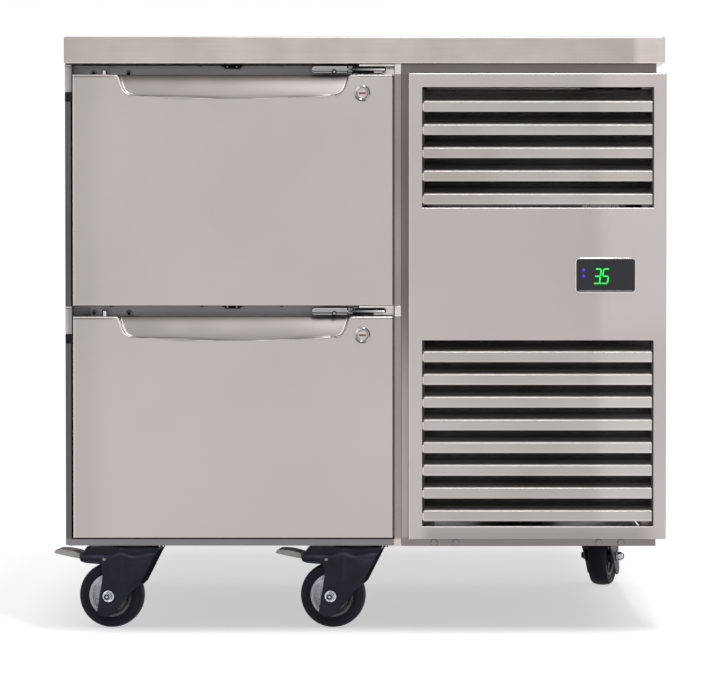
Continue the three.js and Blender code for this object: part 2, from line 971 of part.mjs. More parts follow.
function buildLock(drawer) {
  const z = drawer.top - lockDrop;
  const ringFront = drawerFace - lockRingThick;
  const barrel = cut(
    join(
      rodY(lockMiddleX, z, lockRingRadius, [ringFront, drawerFace - fit], roundSides),
      rodY(lockMiddleX, z, lockBodyRadius, [ringFront + fit, drawerFace + lockBodyLength], roundSides),
    ),
    rodY(lockMiddleX, z, rotorRadius + fit, [ringFront - cutOver, drawerFace + frontThick]),
    rodY(lockMiddleX, z, rotorFaceRadius + fit, [ringFront - cutOver, drawerFace - fit]),
  );
  addPart(fridge, `lock_barrel_${drawer.name}`, barrel, chrome);
  const faceFront = ringFront + lockFaceSet;
  const keyway = block(
    [lockMiddleX - keyLength / 2, lockMiddleX + keyLength / 2],
    [faceFront - cutOver, faceFront + keyDeep],
    [z - keyWidth / 2, z + keyWidth / 2],
  );
  const cam = prismY(
    roundedShape(
      [lockMiddleX - camLength, lockMiddleX + camWidth / 2],
      [z - camWidth / 2, z + camWidth / 2],
      camWidth / 2 - fit,
    ),
    [camFront, camFront + camThick],
  );
  const rotor = join(
    cut(
      join(
        rodY(lockMiddleX, z, rotorRadius, [faceFront + fit, camFront + camThick + fit]),
        rodY(lockMiddleX, z, rotorFaceRadius, [faceFront, drawerFace - fit * 2]),
      ),
      keyway,
    ),
    cam,
  );
  addPart(fridge, `lock_rotor_${drawer.name}`, rotor, chrome);
}

// Catch: a chromed bracket in the gap above the drawer, with a slot that takes the lock's cam.
function buildCatch(drawer) {
  const bottom = drawer.top + catchRise;
  const right = frontRight - catchRight;
  const left = right - catchLength;
  const front = drawerFace + catchFrontSet;
  const shelfBottom = bottom + catchBlockDrop;
  const plateTop = bottom + catchPlateHeight;
  const plateShape = new THREE.Shape();
  plateShape.moveTo(left, bottom);
  plateShape.lineTo(left + catchPlateLength, bottom);
  plateShape.lineTo(left + catchPlateLength, plateTop);
  plateShape.lineTo(left + catchPlateRound, plateTop);
  plateShape.quadraticCurveTo(left, plateTop, left, plateTop - catchPlateRound);
  const plate = prismY(plateShape, [front, front + catchPlateThick]);
  const boss = rodY(
    left + catchBossAlong,
    bottom + catchPlateHeight / 2,
    catchBossRadius - catchRise / 2,
    [front - catchBossThick, front + catchPlateThick],
  );
  const knuckle = rodZ(
    left + catchPlateLength + catchKnuckleRadius,
    front + catchKnuckleRadius - catchPlateThick / 2,
    catchKnuckleRadius,
    [shelfBottom - fit, plateTop - fit],
  );
  const shelf = block(
    [left + catchPlateThick, right - catchArmWide / 2],
    [front, sealFace - fit],
    [shelfBottom, shelfBottom + catchShelfThick],
  );
  const armShape = roundedShape(
    [left + catchPlateLength + catchKnuckleRadius, right],
    [front - catchArmFront, front - catchArmFront + catchArmWide],
    catchArmWide / 2 - fit,
  );
  const arm = prismZ(armShape, [shelfBottom - fit / 2, shelfBottom + catchArmThick]);
  const blockPiece = block(
    [right - catchBlockWide - catchArmWide / 2, right - catchArmWide / 2],
    [front + fit, front + catchArmWide / 2],
    [bottom, shelfBottom + fit],
  );
  const backLeg = block(
    [left + catchPlateLength, right - catchArmWide],
    [sealFace - fit - catchPlateThick / 2, sealFace - fit],
    [bottom, plateTop],
  );
  const slot = block(
    [lockMiddleX - camSweep, lockMiddleX + camWidth / 2 + camRoom],
    [camFront - camRoom, camFront + camThick + camRoom],
    [bottom - cutOver, plateTop + cutOver],
  );
  const bracket = cut(join(plate, boss, knuckle, shelf, arm, blockPiece, backLeg), slot);
  addPart(fridge, `lock_catch_${drawer.name}`, bracket, chrome);
}

function buildSwitch(drawer) {
  const left = frontLeft + switchInset;
  const top = drawer.top + headGap - fit;
  const front = sealFace - fit - switchDeep;
  const body = join(
    block([left, left + switchWide], [front, sealFace - fit], [top - switchHigh, top]),
    ...switchScrewShares.map((share) =>
      rodY(
        left + switchWide * share,
        top - switchHigh / 2,
        switchScrewRadius,
        [front - switchScrewProud, front + switchDeep / 2],
        smallSides,
      ),
    ),
  );
  addPart(fridge, `door_switch_${drawer.name}`, body, blackPlastic);
}

// Base pan, on which the cabinet stands and under which the castors are bolted.
const bayPanFront = frameFace + bayFrameReturn + fit;

function buildBasePan() {
  const floorZ = [castorHeight, panTop];
  const coldPart = block(
    [caseLeft + panInset, caseRight],
    [frameFace + panInset * 2, caseBack - fit],
    floorZ,
  );
  const bayPart = block(
    [caseRight - cutOver, bayRight - panInset],
    [bayPanFront, caseBack - panInset],
    floorZ,
  );
  addPart(fridge, "base_pan", join(coldPart, bayPart), shadedSteel);
}

// Bay: front frame with its base rail, side panel and vented back panel.
function buildBay() {
  const outerX = [bayLeft, bayRight];
  const outerZ = [castorHeight, caseTop];
  const innerX = [bayLeft + bayFrameWidth, bayRight - bayFrameNarrow];
  const innerZ = [castorHeight + bayBaseWidth, caseTop - bayBaseWidth];
  const face = [frameFace, frameFace + frameSheet];
  const faceRing = cut(
    block(outerX, face, outerZ),
    block(innerX, [frameFace - cutOver, frameFace + cutOver], innerZ),
  );
  const outerReturn = ringY(outerX, outerZ, frameSheet, [frameFace, frameFace + bayFrameReturn]);
  const innerReturn = ringY(
    [innerX[0] - frameSheet, innerX[1] + frameSheet],
    [innerZ[0] - frameSheet, innerZ[1] + frameSheet],
    frameSheet,
    [frameFace, frameFace + bayFrameReturn / 2],
  );
  const screwPlaces = [
    ...screwLeftInsets.map((inset) => coverLeft + inset),
    ...screwRightInsets.map((inset) => coverRight - inset),
  ];
  const screws = screwPlaces.map((x) =>
    rodY(
      x,
      castorHeight + screwRise,
      screwRadius,
      [frameFace - screwProud, frameFace + frameSheet],
      smallSides,
    ),
  );
  addPart(fridge, "bay_frame", join(faceRing, outerReturn, innerReturn, ...screws), stainless);

  const panelFront = frameFace + bayFrameReturn + fit;
  const panelBack = caseBack - panelSheet - fit;
  const side = polygon([
    [bayRight - bayFrameWidth, panelFront],
    [bayRight, panelFront],
    [bayRight, panelBack],
    [bayRight - panelSheet, panelBack],
    [bayRight - panelSheet, panelFront + panelSheet],
    [bayRight - bayFrameWidth, panelFront + panelSheet],
  ]);
  addPart(fridge, "side_panel", prismZ(side, [panTop + fit, caseTop]), stainless);

  const backSheet = block([bayLeft, bayRight], [caseBack - panelSheet, caseBack], [castorHeight, caseTop]);
  const slots = [];
  const firstX = bayLeft + ventMargin + ventPost / 2;
  const columnPitch = (bayRight - bayLeft - ventMargin * 2) / ventColumns;
  const firstZ = castorHeight + ventPitch * ventColumns;
  for (let row = 0; row < ventRows; row += 1) {
    for (let column = 0; column < ventColumns; column += 1) {
      const x = firstX + column * columnPitch;
      const z = firstZ + row * ventPitch;
      slots.push(
        block(
          [x, x + columnPitch - ventPost],
          [caseBack - panelSheet - cutOver, caseBack + cutOver],
          [z, z + ventSlotHigh],
        ),
      );
    }
  }
  addPart(fridge, "back_panel", cut(backSheet, ...slots), stainless);
}

// Cover panel: a pressed sheet with folded edges, two louvre openings and the controller's cut-out.
const coverHigh = coverTop - coverBottom;
const displayRight = coverRight - displayInset;
const displayLeft = displayRight - displayWide;
const upperOpeningTop = coverTop - upperOpeningSet;
const upperOpeningBottom = upperOpeningTop - coverHigh * upperOpeningShare;
const lowerOpeningBottom = coverBottom + lowerOpeningSet;
const lowerOpeningTop = lowerOpeningBottom + coverHigh * lowerOpeningShare;
const displayTop = upperOpeningBottom - coverHigh * displayDropShare;
const displayBottom = displayTop - displayHigh;

function buildCover() {
  const throughCover = [coverFace - cutOver, coverFace + coverReturn + cutOver];
  const sheet = block([coverLeft, coverRight], [coverFace, coverBack], [coverBottom, coverTop]);
  const rim = ringY(
    [coverLeft, coverRight],
    [coverBottom, coverTop],
    coverSheet,
    [coverFace, frameFace - fit],
  );
  const openings = [
    [upperOpeningBottom, upperOpeningTop],
    [lowerOpeningBottom, lowerOpeningTop],
  ];
  const rims = openings.map((z) =>
    ringY(
      [openingLeft - coverSheet, openingRight + coverSheet],
      [z[0] - coverSheet, z[1] + coverSheet],
      coverSheet,
      [coverFace, coverFace + openingReturn],
    ),
  );
  const holes = openings.map((z) => block([openingLeft, openingRight], throughCover, z));
  const displayHole = block(
    [displayLeft + displayBodyInset - fit, displayRight - displayBodyInset + fit],
    throughCover,
    [displayBottom + displayBodyInset - fit, displayTop - displayBodyInset + fit],
  );
  addPart(fridge, "cover_panel", cut(join(sheet, rim, ...rims), ...holes, displayHole), stainless);
}

// Louvre: folded slats between two end brackets, seated behind the cover panel.
function buildLouvre(name, [openBottom, openTop], firstShare, pitchShare, slats) {
  const openHigh = openTop - openBottom;
  const left = openingLeft + slatSideGap;
  const right = openingRight - slatSideGap;
  const face = coverFace + lipSet;
  const pieces = [];
  for (let index = 0; index < slats; index += 1) {
    const lipTop = openTop - openHigh * (firstShare + index * pitchShare);
    const section = polygon([
      [face, lipTop - lipHigh],
      [face + slatSheet * 2, lipTop - lipHigh],
      [face + slatSheet * 2, lipTop - lipHigh + slatSheet],
      [face + slatSheet, lipTop - lipHigh + slatSheet],
      [face + slatSheet, lipTop - slatSheet / 2],
      [face + bladeRun, lipTop + bladeRise - slatSheet],
      [face + bladeRun, lipTop + bladeRise],
      [face, lipTop],
    ]);
    pieces.push(prismX(section, [left + slatSheet / 2, right - slatSheet / 2]));
  }
  const bracketY = [coverBack + fit, face + bladeRun];
  const seat = [coverFace + openingReturn + fit, coverFace + openingReturn + fit + slatSheet];
  for (const [x, flange] of [
    [[left, left + slatSheet], [openingLeft - bracketFlange, left + slatSheet]],
    [[right - slatSheet, right], [right - slatSheet, openingRight + bracketFlange]],
  ]) {
    pieces.push(block(x, bracketY, [openBottom + slatSideGap, openTop - slatSideGap]));
    pieces.push(block(flange, seat, [openBottom + slatSideGap, openTop - slatSideGap]));
  }
  addPart(fridge, name, join(...pieces), stainless);
}

function buildController() {
  const bezel = prismY(
    roundedShape([displayLeft, displayRight], [displayBottom, displayTop], displayCorner),
    [coverFace - fit - displayThick, coverFace - fit],
  );
  const body = block(
    [displayLeft + displayBodyInset, displayRight - displayBodyInset],
    [coverFace - fit - displayThick / 2, coverFace + displayBodyDeep],
    [displayBottom + displayBodyInset, displayTop - displayBodyInset],
  );
  addPart(fridge, "controller", join(bezel, body), displayGloss);
}

// Finned coil: a comb of fins on each face of a solid core, extruded upwards.
function combShape(x0, x1, y0, y1, pitch, deep, sheet) {
  const fins = Math.floor((x1 - x0 - sheet) / pitch);
  const used = fins * pitch + sheet;
  const start = (x0 + x1 - used) / 2;
  const points = [];
  for (let index = 0; index <= fins; index += 1) {
    const x = start + index * pitch;
    points.push([x, y0], [x + sheet, y0]);
    if (index < fins) {
      points.push([x + sheet, y0 + deep], [x + pitch, y0 + deep]);
    }
  }
  for (let index = fins; index >= 0; index -= 1) {
    const x = start + index * pitch;
    points.push([x + sheet, y1], [x, y1]);
    if (index > 0) {
      points.push([x, y1 - deep], [x + sheet - pitch, y1 - deep]);
    }
  }
  return polygon(points);
}

// A half-round tube bend in Y and Z that stands out sideways from a coil's end.
function tubeBend(x, side, y, z) {
  const bend = new THREE.TorusGeometry(bendRadius, tubeRadius, smallSides / 2, smallSides);
  bend.rotateY(Math.PI / 2);
  bend.rotateZ(Math.PI / 2);
  bend.translate(x, y, z);
  const reach = bendRadius + tubeRadius;
  const sheet = block(
    span(side, x, -tubeRadius, tubeRadius / 2),
    [y - tubeRadius, y + tubeRadius],
    [z - reach, z + reach],
  );
  return solid(bend).add(sheet);
}

const unitMiddle = (bayLeft + bayRight) / 2;
const coilWide = (bayRight - bayLeft) * coilWideShare;
const fanRadius = coilWide * fanRadiusShare;
const coilTop = caseTop - coilTopSet - bayBaseWidth;
const coilBottom = coilTop - coilHigh;
const coilFront = frameFace + bayFrameReturn + coilSet;
const coilBack = coilFront + coilDeep;
const fanZ = (coilTop + coilBottom) / 2;
const shroudBack = coilBack + fit + shroudRingDeep;
const fanMiddleY = coilBack + fit + shroudRingDeep / 2 - shroudSheet;

function buildCondenser() {
  const left = unitMiddle - coilWide / 2;
  const right = unitMiddle + coilWide / 2;
  const comb = combShape(left, right, coilFront, coilBack, finPitch, finDeep, finSheet);
  const core = prismZ(comb, [coilBottom, coilTop]);
  const middleY = (coilFront + coilBack) / 2;
  const bends = [];
  for (let row = 0; row < bendRows; row += 1) {
    const z = coilBottom + (coilHigh * (row + 0.5)) / bendRows;
    bends.push(tubeBend(left + finSheet, -1, middleY, z), tubeBend(right - finSheet, 1, middleY, z));
  }
  const feet = [left, right].map((x) =>
    block(
      span(1, x, -bayFrameWidth / 2, bayFrameWidth / 2),
      [middleY - finSheet, middleY + finSheet],
      [panTop + fit, coilBottom + bayFrameWidth],
    ),
  );
  addPart(fridge, "condenser", join(core, ...bends, ...feet), finAluminium);
}

// Fan shroud: a plate with a round ring, and the motor on four arms behind it.
function buildShroud() {
  const plateY = [coilBack + fit, coilBack + fit + shroudSheet];
  const ringRadius = fanRadius + fanTipGap;
  const plate = block(
    [unitMiddle - coilWide / 2, unitMiddle + coilWide / 2],
    plateY,
    [coilBottom, coilTop],
  );
  const ringOuter = ringRadius + shroudRingWall;
  const ring = rodY(unitMiddle, fanZ, ringOuter, [plateY[0], shroudBack], roundSides * 2);
  const throughRing = [plateY[0] - cutOver, shroudBack + cutOver];
  const hole = rodY(unitMiddle, fanZ, ringRadius, throughRing, roundSides * 2);
  const armsY = [shroudBack - shroudSheet * 2, shroudBack];
  const reach = ringRadius + shroudRingWall / 2;
  const arms = [
    block([unitMiddle - reach, unitMiddle + reach], armsY, [fanZ - motorArm / 2, fanZ + motorArm / 2]),
    block([unitMiddle - motorArm / 2, unitMiddle + motorArm / 2], armsY, [fanZ - reach, fanZ + reach]),
  ];
  const motor = rodY(unitMiddle, fanZ, motorRadius, [armsY[0], shroudBack + motorDeep]);
  const shaft = rodY(unitMiddle, fanZ, shaftRadius, [fanMiddleY - fanHubDeep / 2, shroudBack], smallSides);
  addPart(fridge, "fan_shroud", join(cut(join(plate, ring), hole), ...arms, motor, shaft), blackPaint);
}

// Outline of a fan blade: shares of its chord and of the fan's radius, each curve's pull point
// before its end point.
const fanOutlineShares = [
  [-0.3, 0.149],
  [-0.7, 0.6],
  [-0.45, 0.88],
  [0, 1],
  [0.5, 0.82],
  [0.35, 0.5],
  [0.2, 0.149],
];

// Fan about the Y axis, centred on the origin: pitched blades round a hub.
function fanRotor(deep, radius) {
  const hubRadius = radius * fanHubShare;
  const chord = radius * fanChordShare;
  const points = fanOutlineShares.map(([across, out]) => [chord * across, radius * out]);
  const outline = new THREE.Shape();
  outline.moveTo(...points[0]);
  for (let index = 1; index < points.length; index += 2) {
    outline.quadraticCurveTo(...points[index], ...points[index + 1]);
  }
  const pieces = [rodY(0, 0, hubRadius, [-deep / 2, deep / 2])];
  for (let index = 0; index < fanBlades; index += 1) {
    const blade = new THREE.ExtrudeGeometry(outline, {
      depth: fanBladeThick,
      bevelEnabled: false,
      curveSegments: arcSteps,
    });
    blade.translate(0, 0, -fanBladeThick / 2);
    blade.rotateY(THREE.MathUtils.degToRad(fanPitchDegrees));
    blade.rotateX(Math.PI / 2);
    blade.rotateY((index * Math.PI * 2) / fanBlades);
    pieces.push(solid(blade));
  }
  const bore = rodY(0, 0, shaftRadius + fit, [-deep, deep], smallSides);
  return cut(join(...pieces), bore);
}

function buildCondenserFan() {
  const rotor = fanRotor(fanHubDeep, fanRadius);
  addPart(fridge, "condenser_fan", rotor.translate([unitMiddle, fanMiddleY, fanZ]), blackPlastic);
}

// Compressor: a domed hermetic shell on a foot plate with four grommets.
function buildCompressor() {
  const y = caseBack - compressorBack;
  const bottom = panTop + fit;
  const plateZ = [bottom + footHigh / 2, bottom + footHigh / 2 + compressorSheet];
  const shares = [
    [0, 0],
    [0.82, 0],
    [0.95, 0.08],
    [0.97, 0.4],
    [1, 0.42],
    [1, 0.47],
    [0.97, 0.49],
    [0.93, 0.78],
    [0.7, 0.94],
    [0.3, 1],
    [0, 1],
  ];
  const points = shares.map(([r, h]) => new THREE.Vector2(r * compressorRadius, h * compressorHigh));
  const shell = new THREE.LatheGeometry(points, roundSides + 4);
  shell.rotateX(Math.PI / 2);
  shell.translate(unitMiddle, y, plateZ[0] + compressorSheet / 2);
  const plate = block(
    [unitMiddle - compressorPlateLong / 2, unitMiddle + compressorPlateLong / 2],
    [y - compressorPlateWide / 2, y + compressorPlateWide / 2],
    plateZ,
  );
  const feet = [];
  for (const sx of [-1, 1]) {
    for (const sy of [-1, 1]) {
      feet.push(
        rodZ(
          unitMiddle + sx * (compressorPlateLong / 2 - footRadius),
          y + sy * (compressorPlateWide / 2 - footRadius),
          footRadius,
          [bottom, bottom + footHigh],
          smallSides,
        ),
      );
    }
  }
  const terminalBottom = bottom + compressorHigh * terminalRiseShare;
  const terminal = block(
    [unitMiddle - terminalWide / 2, unitMiddle + terminalWide / 2],
    [y - compressorRadius - terminalDeep / 2, y - compressorRadius + terminalDeep],
    [terminalBottom, terminalBottom + terminalHigh],
  );
  addPart(fridge, "compressor", join(solid(shell), plate, ...feet, terminal), blackPaint);
}

// Evaporator: an insulated box against the partition. Air enters by the lower duct, rises
// through a level coil and a fan, and leaves by the upper duct.
function buildEvaporator() {
  const x = [bayLeft + fit, bayLeft + evapWide];
  const y = [ductMiddle - evapDeep / 2, ductMiddle + evapDeep / 2];
  const z = [evapBottom, evapTop];
  const insideTop = evapTop - evapWall;
  const fanX = (x[0] + x[1] - evapWall) / 2;
  const evapCoilBottom = evapBottom + evapWall + evapPlenumHigh;
  const coilZ = [evapCoilBottom, evapCoilBottom + evapCoilHigh];
  const fanMiddleZ = coilZ[1] + evapFanLift + fanHubDeep / 2;
  const box = cut(
    block(x, y, z),
    block(
      [x[0] - cutOver, x[1] - evapWall],
      [y[0] + evapWall, y[1] - evapWall],
      [z[0] + evapWall, insideTop],
    ),
  );
  const hanger = block(x, [y[0], y[0] + evapWall], [insideTop, caseTop]);
  const ledges = [
    block([x[0], x[1]], [y[0], y[0] + evapWall * evapLedgeShare], [coilZ[0] - evapWall / 2, coilZ[0] - fit]),
    block([x[0], x[1]], [y[1] - evapWall * evapLedgeShare, y[1]], [coilZ[0] - evapWall / 2, coilZ[0] - fit]),
  ];
  const motor = rodZ(fanX, ductMiddle, motorRadius / 2, [fanMiddleZ + fanHubDeep, insideTop + evapWall / 2]);
  const shaft = rodZ(fanX, ductMiddle, shaftRadius, [fanMiddleZ - fanHubDeep / 2, insideTop], smallSides);
  addPart(fridge, "evaporator_box", join(box, hanger, ...ledges, motor, shaft), foam);

  const comb = combShape(y[0] + evapWall + fit, y[1] - evapWall - fit, ...coilZ, finPitch, finDeep, finSheet);
  addPart(fridge, "evaporator_coil", prismX(comb, [x[0] + evapWall, x[1] - evapWall - fit]), finAluminium);

  const rotor = fanRotor(fanHubDeep, evapFanRadius).rotate([90, 0, 0]);
  addPart(fridge, "evaporator_fan", rotor.translate([fanX, ductMiddle, fanMiddleZ]), blackPlastic);
}

// Castors
const plateBottom = castorHeight - plateThick;
const crownTop = plateBottom - raceGap;
const skirtTop = castorHeight - crownDrop;
const legHalf = forkGap / 2 + forkSheet;

// Side view of a fork leg and its brake housing: reach behind the swivel axis as a share of the
// wheel's radius, and height as a share of the castor's.
const legOutlineShares = [
  [-0.79, 0.926],
  [-0.228, 0.52],
  [0.1, 0.405],
  [0.3, 0.315],
  [0.62, 0.17],
];
const legTipShares = [
  [0.86, 0.09],
  [1.153, 0.17],
];
const housingShares = [
  [0.97, 0.587],
  [0.985, 0.713],
  [1.074, 0.731],
  [1.61, 0.74],
  [1.704, 0.79],
  [1.588, 0.858],
  [1.452, 0.926],
];

const atCastor = ([reach, height]) => [reach * wheelRadius, height * castorHeight];

function legShape() {
  const shape = new THREE.Shape();
  const points = legOutlineShares.map(atCastor);
  shape.moveTo(...points[0]);
  points.slice(1).forEach((point) => shape.lineTo(...point));
  shape.quadraticCurveTo(...legTipShares.flatMap(atCastor));
  housingShares.map(atCastor).forEach((point) => shape.lineTo(...point));
  return shape;
}

function buildFork() {
  const outer = legShape();
  const legs = [-1, 1].map((side) => prismY(outer, span(side, 0, forkGap / 2, legHalf)));
  const right = atCastor(legOutlineShares[0]);
  const [lip, shoulder] = housingShares.slice(-2).map(atCastor);
  const hood = prismY(
    polygon([
      right,
      [right[0] + forkSheet, right[1] - forkSheet],
      [shoulder[0] - forkSheet / 2, shoulder[1] - forkSheet],
      [lip[0] - forkSheet, lip[1] - forkSheet / 2],
      lip,
      shoulder,
    ]),
    [-legHalf, legHalf],
  );
  const race = rodZ(0, 0, raceRadius, [skirtTop - forkSheet * 2, crownTop - fit], roundSides + 4);
  const kingHole = rodZ(0, 0, kingpinRadius + fit, [skirtTop - cutOver * 2, castorHeight]);
  const axle = rodY(castorTrail, wheelRadius, axleRadius, [-legHalf, legHalf], smallSides);
  const nuts = [-1, 1].map((side) =>
    rodY(castorTrail, wheelRadius, nutRadius, span(side, 0, legHalf - forkSheet / 2, legHalf + nutHigh), 6),
  );
  const rivetZ = wheelRadius * 2 + rivetRise;
  const rivetHalf = legHalf + rivetProud;
  const rivet = rodY(rivetReach, rivetZ, rivetRadius, [-rivetHalf, rivetHalf], smallSides);
  return join(cut(join(...legs, hood, race), kingHole), axle, ...nuts, rivet);
}

function buildWheelCentre() {
  const half = forkGap / 2 - fit;
  const bore = axleRadius + boreGap;
  const profile = [
    [bore, -half],
    [bossRadius, -half],
    [bossRadius, -webHalf],
    [webInner, -webHalf + tyreShoulder / 2],
    [webInner + fit, -rimHalf],
    [rimRadius, -rimHalf],
    [rimRadius, rimHalf],
    [webInner + fit, rimHalf],
    [webInner, webHalf - tyreShoulder / 2],
    [bossRadius, webHalf],
    [bossRadius, half],
    [bore, half],
  ];
  return turnedY(profile, roundSides).translate([castorTrail, 0, wheelRadius]);
}

function buildTyre() {
  const half = wheelWidth / 2;
  const inner = rimRadius + fit;
  const profile = [
    [inner, -rimHalf],
    [inner + tyreBand, -half + fit],
    [wheelRadius - tyreShoulder, -half],
    [wheelRadius, -half + tyreShoulder],
    [wheelRadius, half - tyreShoulder],
    [wheelRadius - tyreShoulder, half],
    [inner + tyreBand, half - fit],
    [inner, rimHalf],
  ];
  return turnedY(profile, wheelSides).translate([castorTrail, 0, wheelRadius]);
}

// Pedal: an arm inside the brake housing and a curved foot pad, hinged on the rivet. The pad's
// shares are its heights over the hinge, of the pedal's rise, at the middle and the end.
const padUnderShares = [0.3, 0.8];

function buildPedal() {
  const z = wheelRadius * 2 + rivetRise;
  const barrel = rodY(rivetReach, z, pedalBarrel, [-pedalHalfArm, pedalHalfArm]);
  const armEnd = z + pedalRise / 2 - pedalThick / 4;
  const arm = prismY(
    polygon([
      [rivetReach, z],
      [rivetReach, z + pedalThick / 2],
      [pedalPadStart, armEnd + pedalThick / 2],
      [pedalPadStart, armEnd - pedalThick / 2],
    ]),
    [-pedalHalfArm, pedalHalfArm],
  );
  const [underMiddle, underEnd] = padUnderShares.map((share) => z + pedalRise * share);
  const start = [pedalPadStart - pedalThick / 2, z + pedalRise / 2];
  const middle = (start[0] + pedalReach) / 2;
  const pad = new THREE.Shape();
  pad.moveTo(start[0], start[1] - pedalThick);
  pad.quadraticCurveTo(middle, underMiddle, pedalReach, underEnd);
  pad.lineTo(pedalReach - pedalThick / 2, underEnd + pedalThick);
  pad.quadraticCurveTo(middle, z + pedalRise + pedalThick, start[0], start[1] + pedalThick / 2);
  const foot = prismY(pad, [-pedalHalfPad, pedalHalfPad]);
  const boreAlong = [-pedalHalfArm - cutOver, pedalHalfArm + cutOver];
  const bore = rodY(rivetReach, z, rivetRadius + boreGap, boreAlong, smallSides);
  return cut(join(barrel, arm, foot), bore);
}

function buildCastorPlate() {
  const plate = prismZ(
    roundedShape([-plateLong / 2, plateLong / 2], [-plateWide / 2, plateWide / 2], benchCorner),
    [plateBottom, castorHeight - fit],
  );
  const race = rodZ(0, 0, raceRadius, [crownTop, castorHeight - fit], roundSides + 4);
  const headTop = skirtTop - forkSheet * 2 - fit;
  const kingpin = rodZ(0, 0, kingpinRadius, [headTop - kingpinHeadHigh / 2, castorHeight - fit], smallSides);
  const head = rodZ(0, 0, kingpinHeadRadius, [headTop - kingpinHeadHigh, headTop], smallSides);
  const bolts = [];
  for (const x of [-plateBoltX, plateBoltX]) {
    for (const y of [-plateBoltY, plateBoltY]) {
      bolts.push(rodZ(x, y, boltHeadRadius, [plateBottom - boltHeadHigh, castorHeight - fit], 6));
    }
  }
  return join(plate, race, kingpin, head, ...bolts);
}

const castors = [
  {
    name: "front_left",
    x: caseLeft + leftCastorInset,
    y: frameFace + frontCastorInset,
    turn: 0,
    yaw: frontYaw,
    brake: true,
  },
  {
    name: "front_middle",
    x: caseLeft + leftCastorInset + castorSpacing,
    y: frameFace + frontCastorInset,
    turn: 0,
    yaw: frontYaw,
    brake: true,
  },
  {
    name: "rear_left",
    x: caseLeft + rearLeftInset,
    y: caseBack - rearCastorInset,
    turn: plateQuarter,
    yaw: rearLeftYaw,
    brake: false,
  },
  {
    name: "rear_right",
    x: benchRight - rearRightInset,
    y: caseBack - rearCastorInset,
    turn: plateQuarter,
    yaw: rearRightYaw,
    brake: false,
  },
];

function buildCastors() {
  for (const castor of castors) {
    const place = new THREE.Group();
    place.position.set(castor.x, castor.y, 0);
    const base = new THREE.Group();
    base.rotation.z = THREE.MathUtils.degToRad(castor.turn);
    addPart(base, `castor_plate_${castor.name}`, buildCastorPlate(), blackPaint);
    const swivel = new THREE.Group();
    swivel.rotation.z = THREE.MathUtils.degToRad(castor.yaw);
    addPart(swivel, `castor_fork_${castor.name}`, buildFork(), forkPaint);
    addPart(swivel, `wheel_centre_${castor.name}`, buildWheelCentre(), wheelPlastic);
    addPart(swivel, `tyre_${castor.name}`, buildTyre(), tyreRubber);
    if (castor.brake) {
      addPart(swivel, `brake_pedal_${castor.name}`, buildPedal(), pedalGrey);
    }
    place.add(base, swivel);
    fridge.add(place);
  }
}

buildWorktop();
buildColdShell();
buildFaceFrame();
for (const drawer of drawers) {
  buildDrawerFront(drawer);
  buildGasket(drawer);
  buildRunners(drawer);
  buildDrawerFrame(drawer);
  buildLock(drawer);
  buildCatch(drawer);
  buildSwitch(drawer);
}
buildBasePan();
buildBay();
buildCover();
buildLouvre(
  "louvre_upper",
  [upperOpeningBottom, upperOpeningTop],
  upperFirstShare,
  upperPitchShare,
  upperSlats,
);
buildLouvre(
  "louvre_lower",
  [lowerOpeningBottom, lowerOpeningTop],
  lowerFirstShare,
  lowerPitchShare,
  lowerSlats,
);
buildController();
buildCondenser();
buildShroud();
buildCondenserFan();
buildCompressor();
buildEvaporator();
buildCastors();

// The origin lies on the floor, under the middle of the whole object.
fridge.updateMatrixWorld(true);
const extent = new THREE.Box3().setFromObject(fridge);
fridge.position.x = -(extent.min.x + extent.max.x) / 2;
fridge.position.y = -(extent.min.y + extent.max.y) / 2;

export default fridge;
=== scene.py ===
import math

import bmesh
import bpy
import numpy as np
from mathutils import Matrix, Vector


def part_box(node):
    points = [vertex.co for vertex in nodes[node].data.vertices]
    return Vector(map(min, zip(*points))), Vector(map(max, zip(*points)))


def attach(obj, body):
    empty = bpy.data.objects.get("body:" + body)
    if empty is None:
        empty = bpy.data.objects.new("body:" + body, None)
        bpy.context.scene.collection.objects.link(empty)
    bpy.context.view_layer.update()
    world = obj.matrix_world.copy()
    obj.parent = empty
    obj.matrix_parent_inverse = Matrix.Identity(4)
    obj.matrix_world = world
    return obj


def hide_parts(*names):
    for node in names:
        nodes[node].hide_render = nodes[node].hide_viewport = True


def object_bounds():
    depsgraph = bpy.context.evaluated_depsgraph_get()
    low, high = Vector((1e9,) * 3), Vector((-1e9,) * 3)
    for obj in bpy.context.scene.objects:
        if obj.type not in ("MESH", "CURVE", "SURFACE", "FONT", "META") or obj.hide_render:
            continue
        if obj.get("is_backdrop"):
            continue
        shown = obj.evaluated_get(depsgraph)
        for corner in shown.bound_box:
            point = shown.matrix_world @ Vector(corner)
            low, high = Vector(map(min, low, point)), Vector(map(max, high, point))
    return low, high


# Underbench drawer fridge. Lengths are bench millimetres: X and Y from the middle of the
# worktop, Z from the floor, front towards -Y. Pieces become metres in the row frame when made.
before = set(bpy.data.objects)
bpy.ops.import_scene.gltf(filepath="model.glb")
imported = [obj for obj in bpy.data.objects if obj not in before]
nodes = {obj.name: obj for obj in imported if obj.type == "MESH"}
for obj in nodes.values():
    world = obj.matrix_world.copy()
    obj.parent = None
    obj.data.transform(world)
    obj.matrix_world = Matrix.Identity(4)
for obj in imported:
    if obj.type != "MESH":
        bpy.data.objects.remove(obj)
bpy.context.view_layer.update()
metre = 0.001
top_low, top_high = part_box("worktop")
bench_middle = np.array([(top_low.x + top_high.x) / 2, (top_low.y + top_high.y) / 2, 0.0]) / metre


# ---------------------------------------------------------------- shapes
# A shape is (points, faces): an n x 3 array and a list of faces.


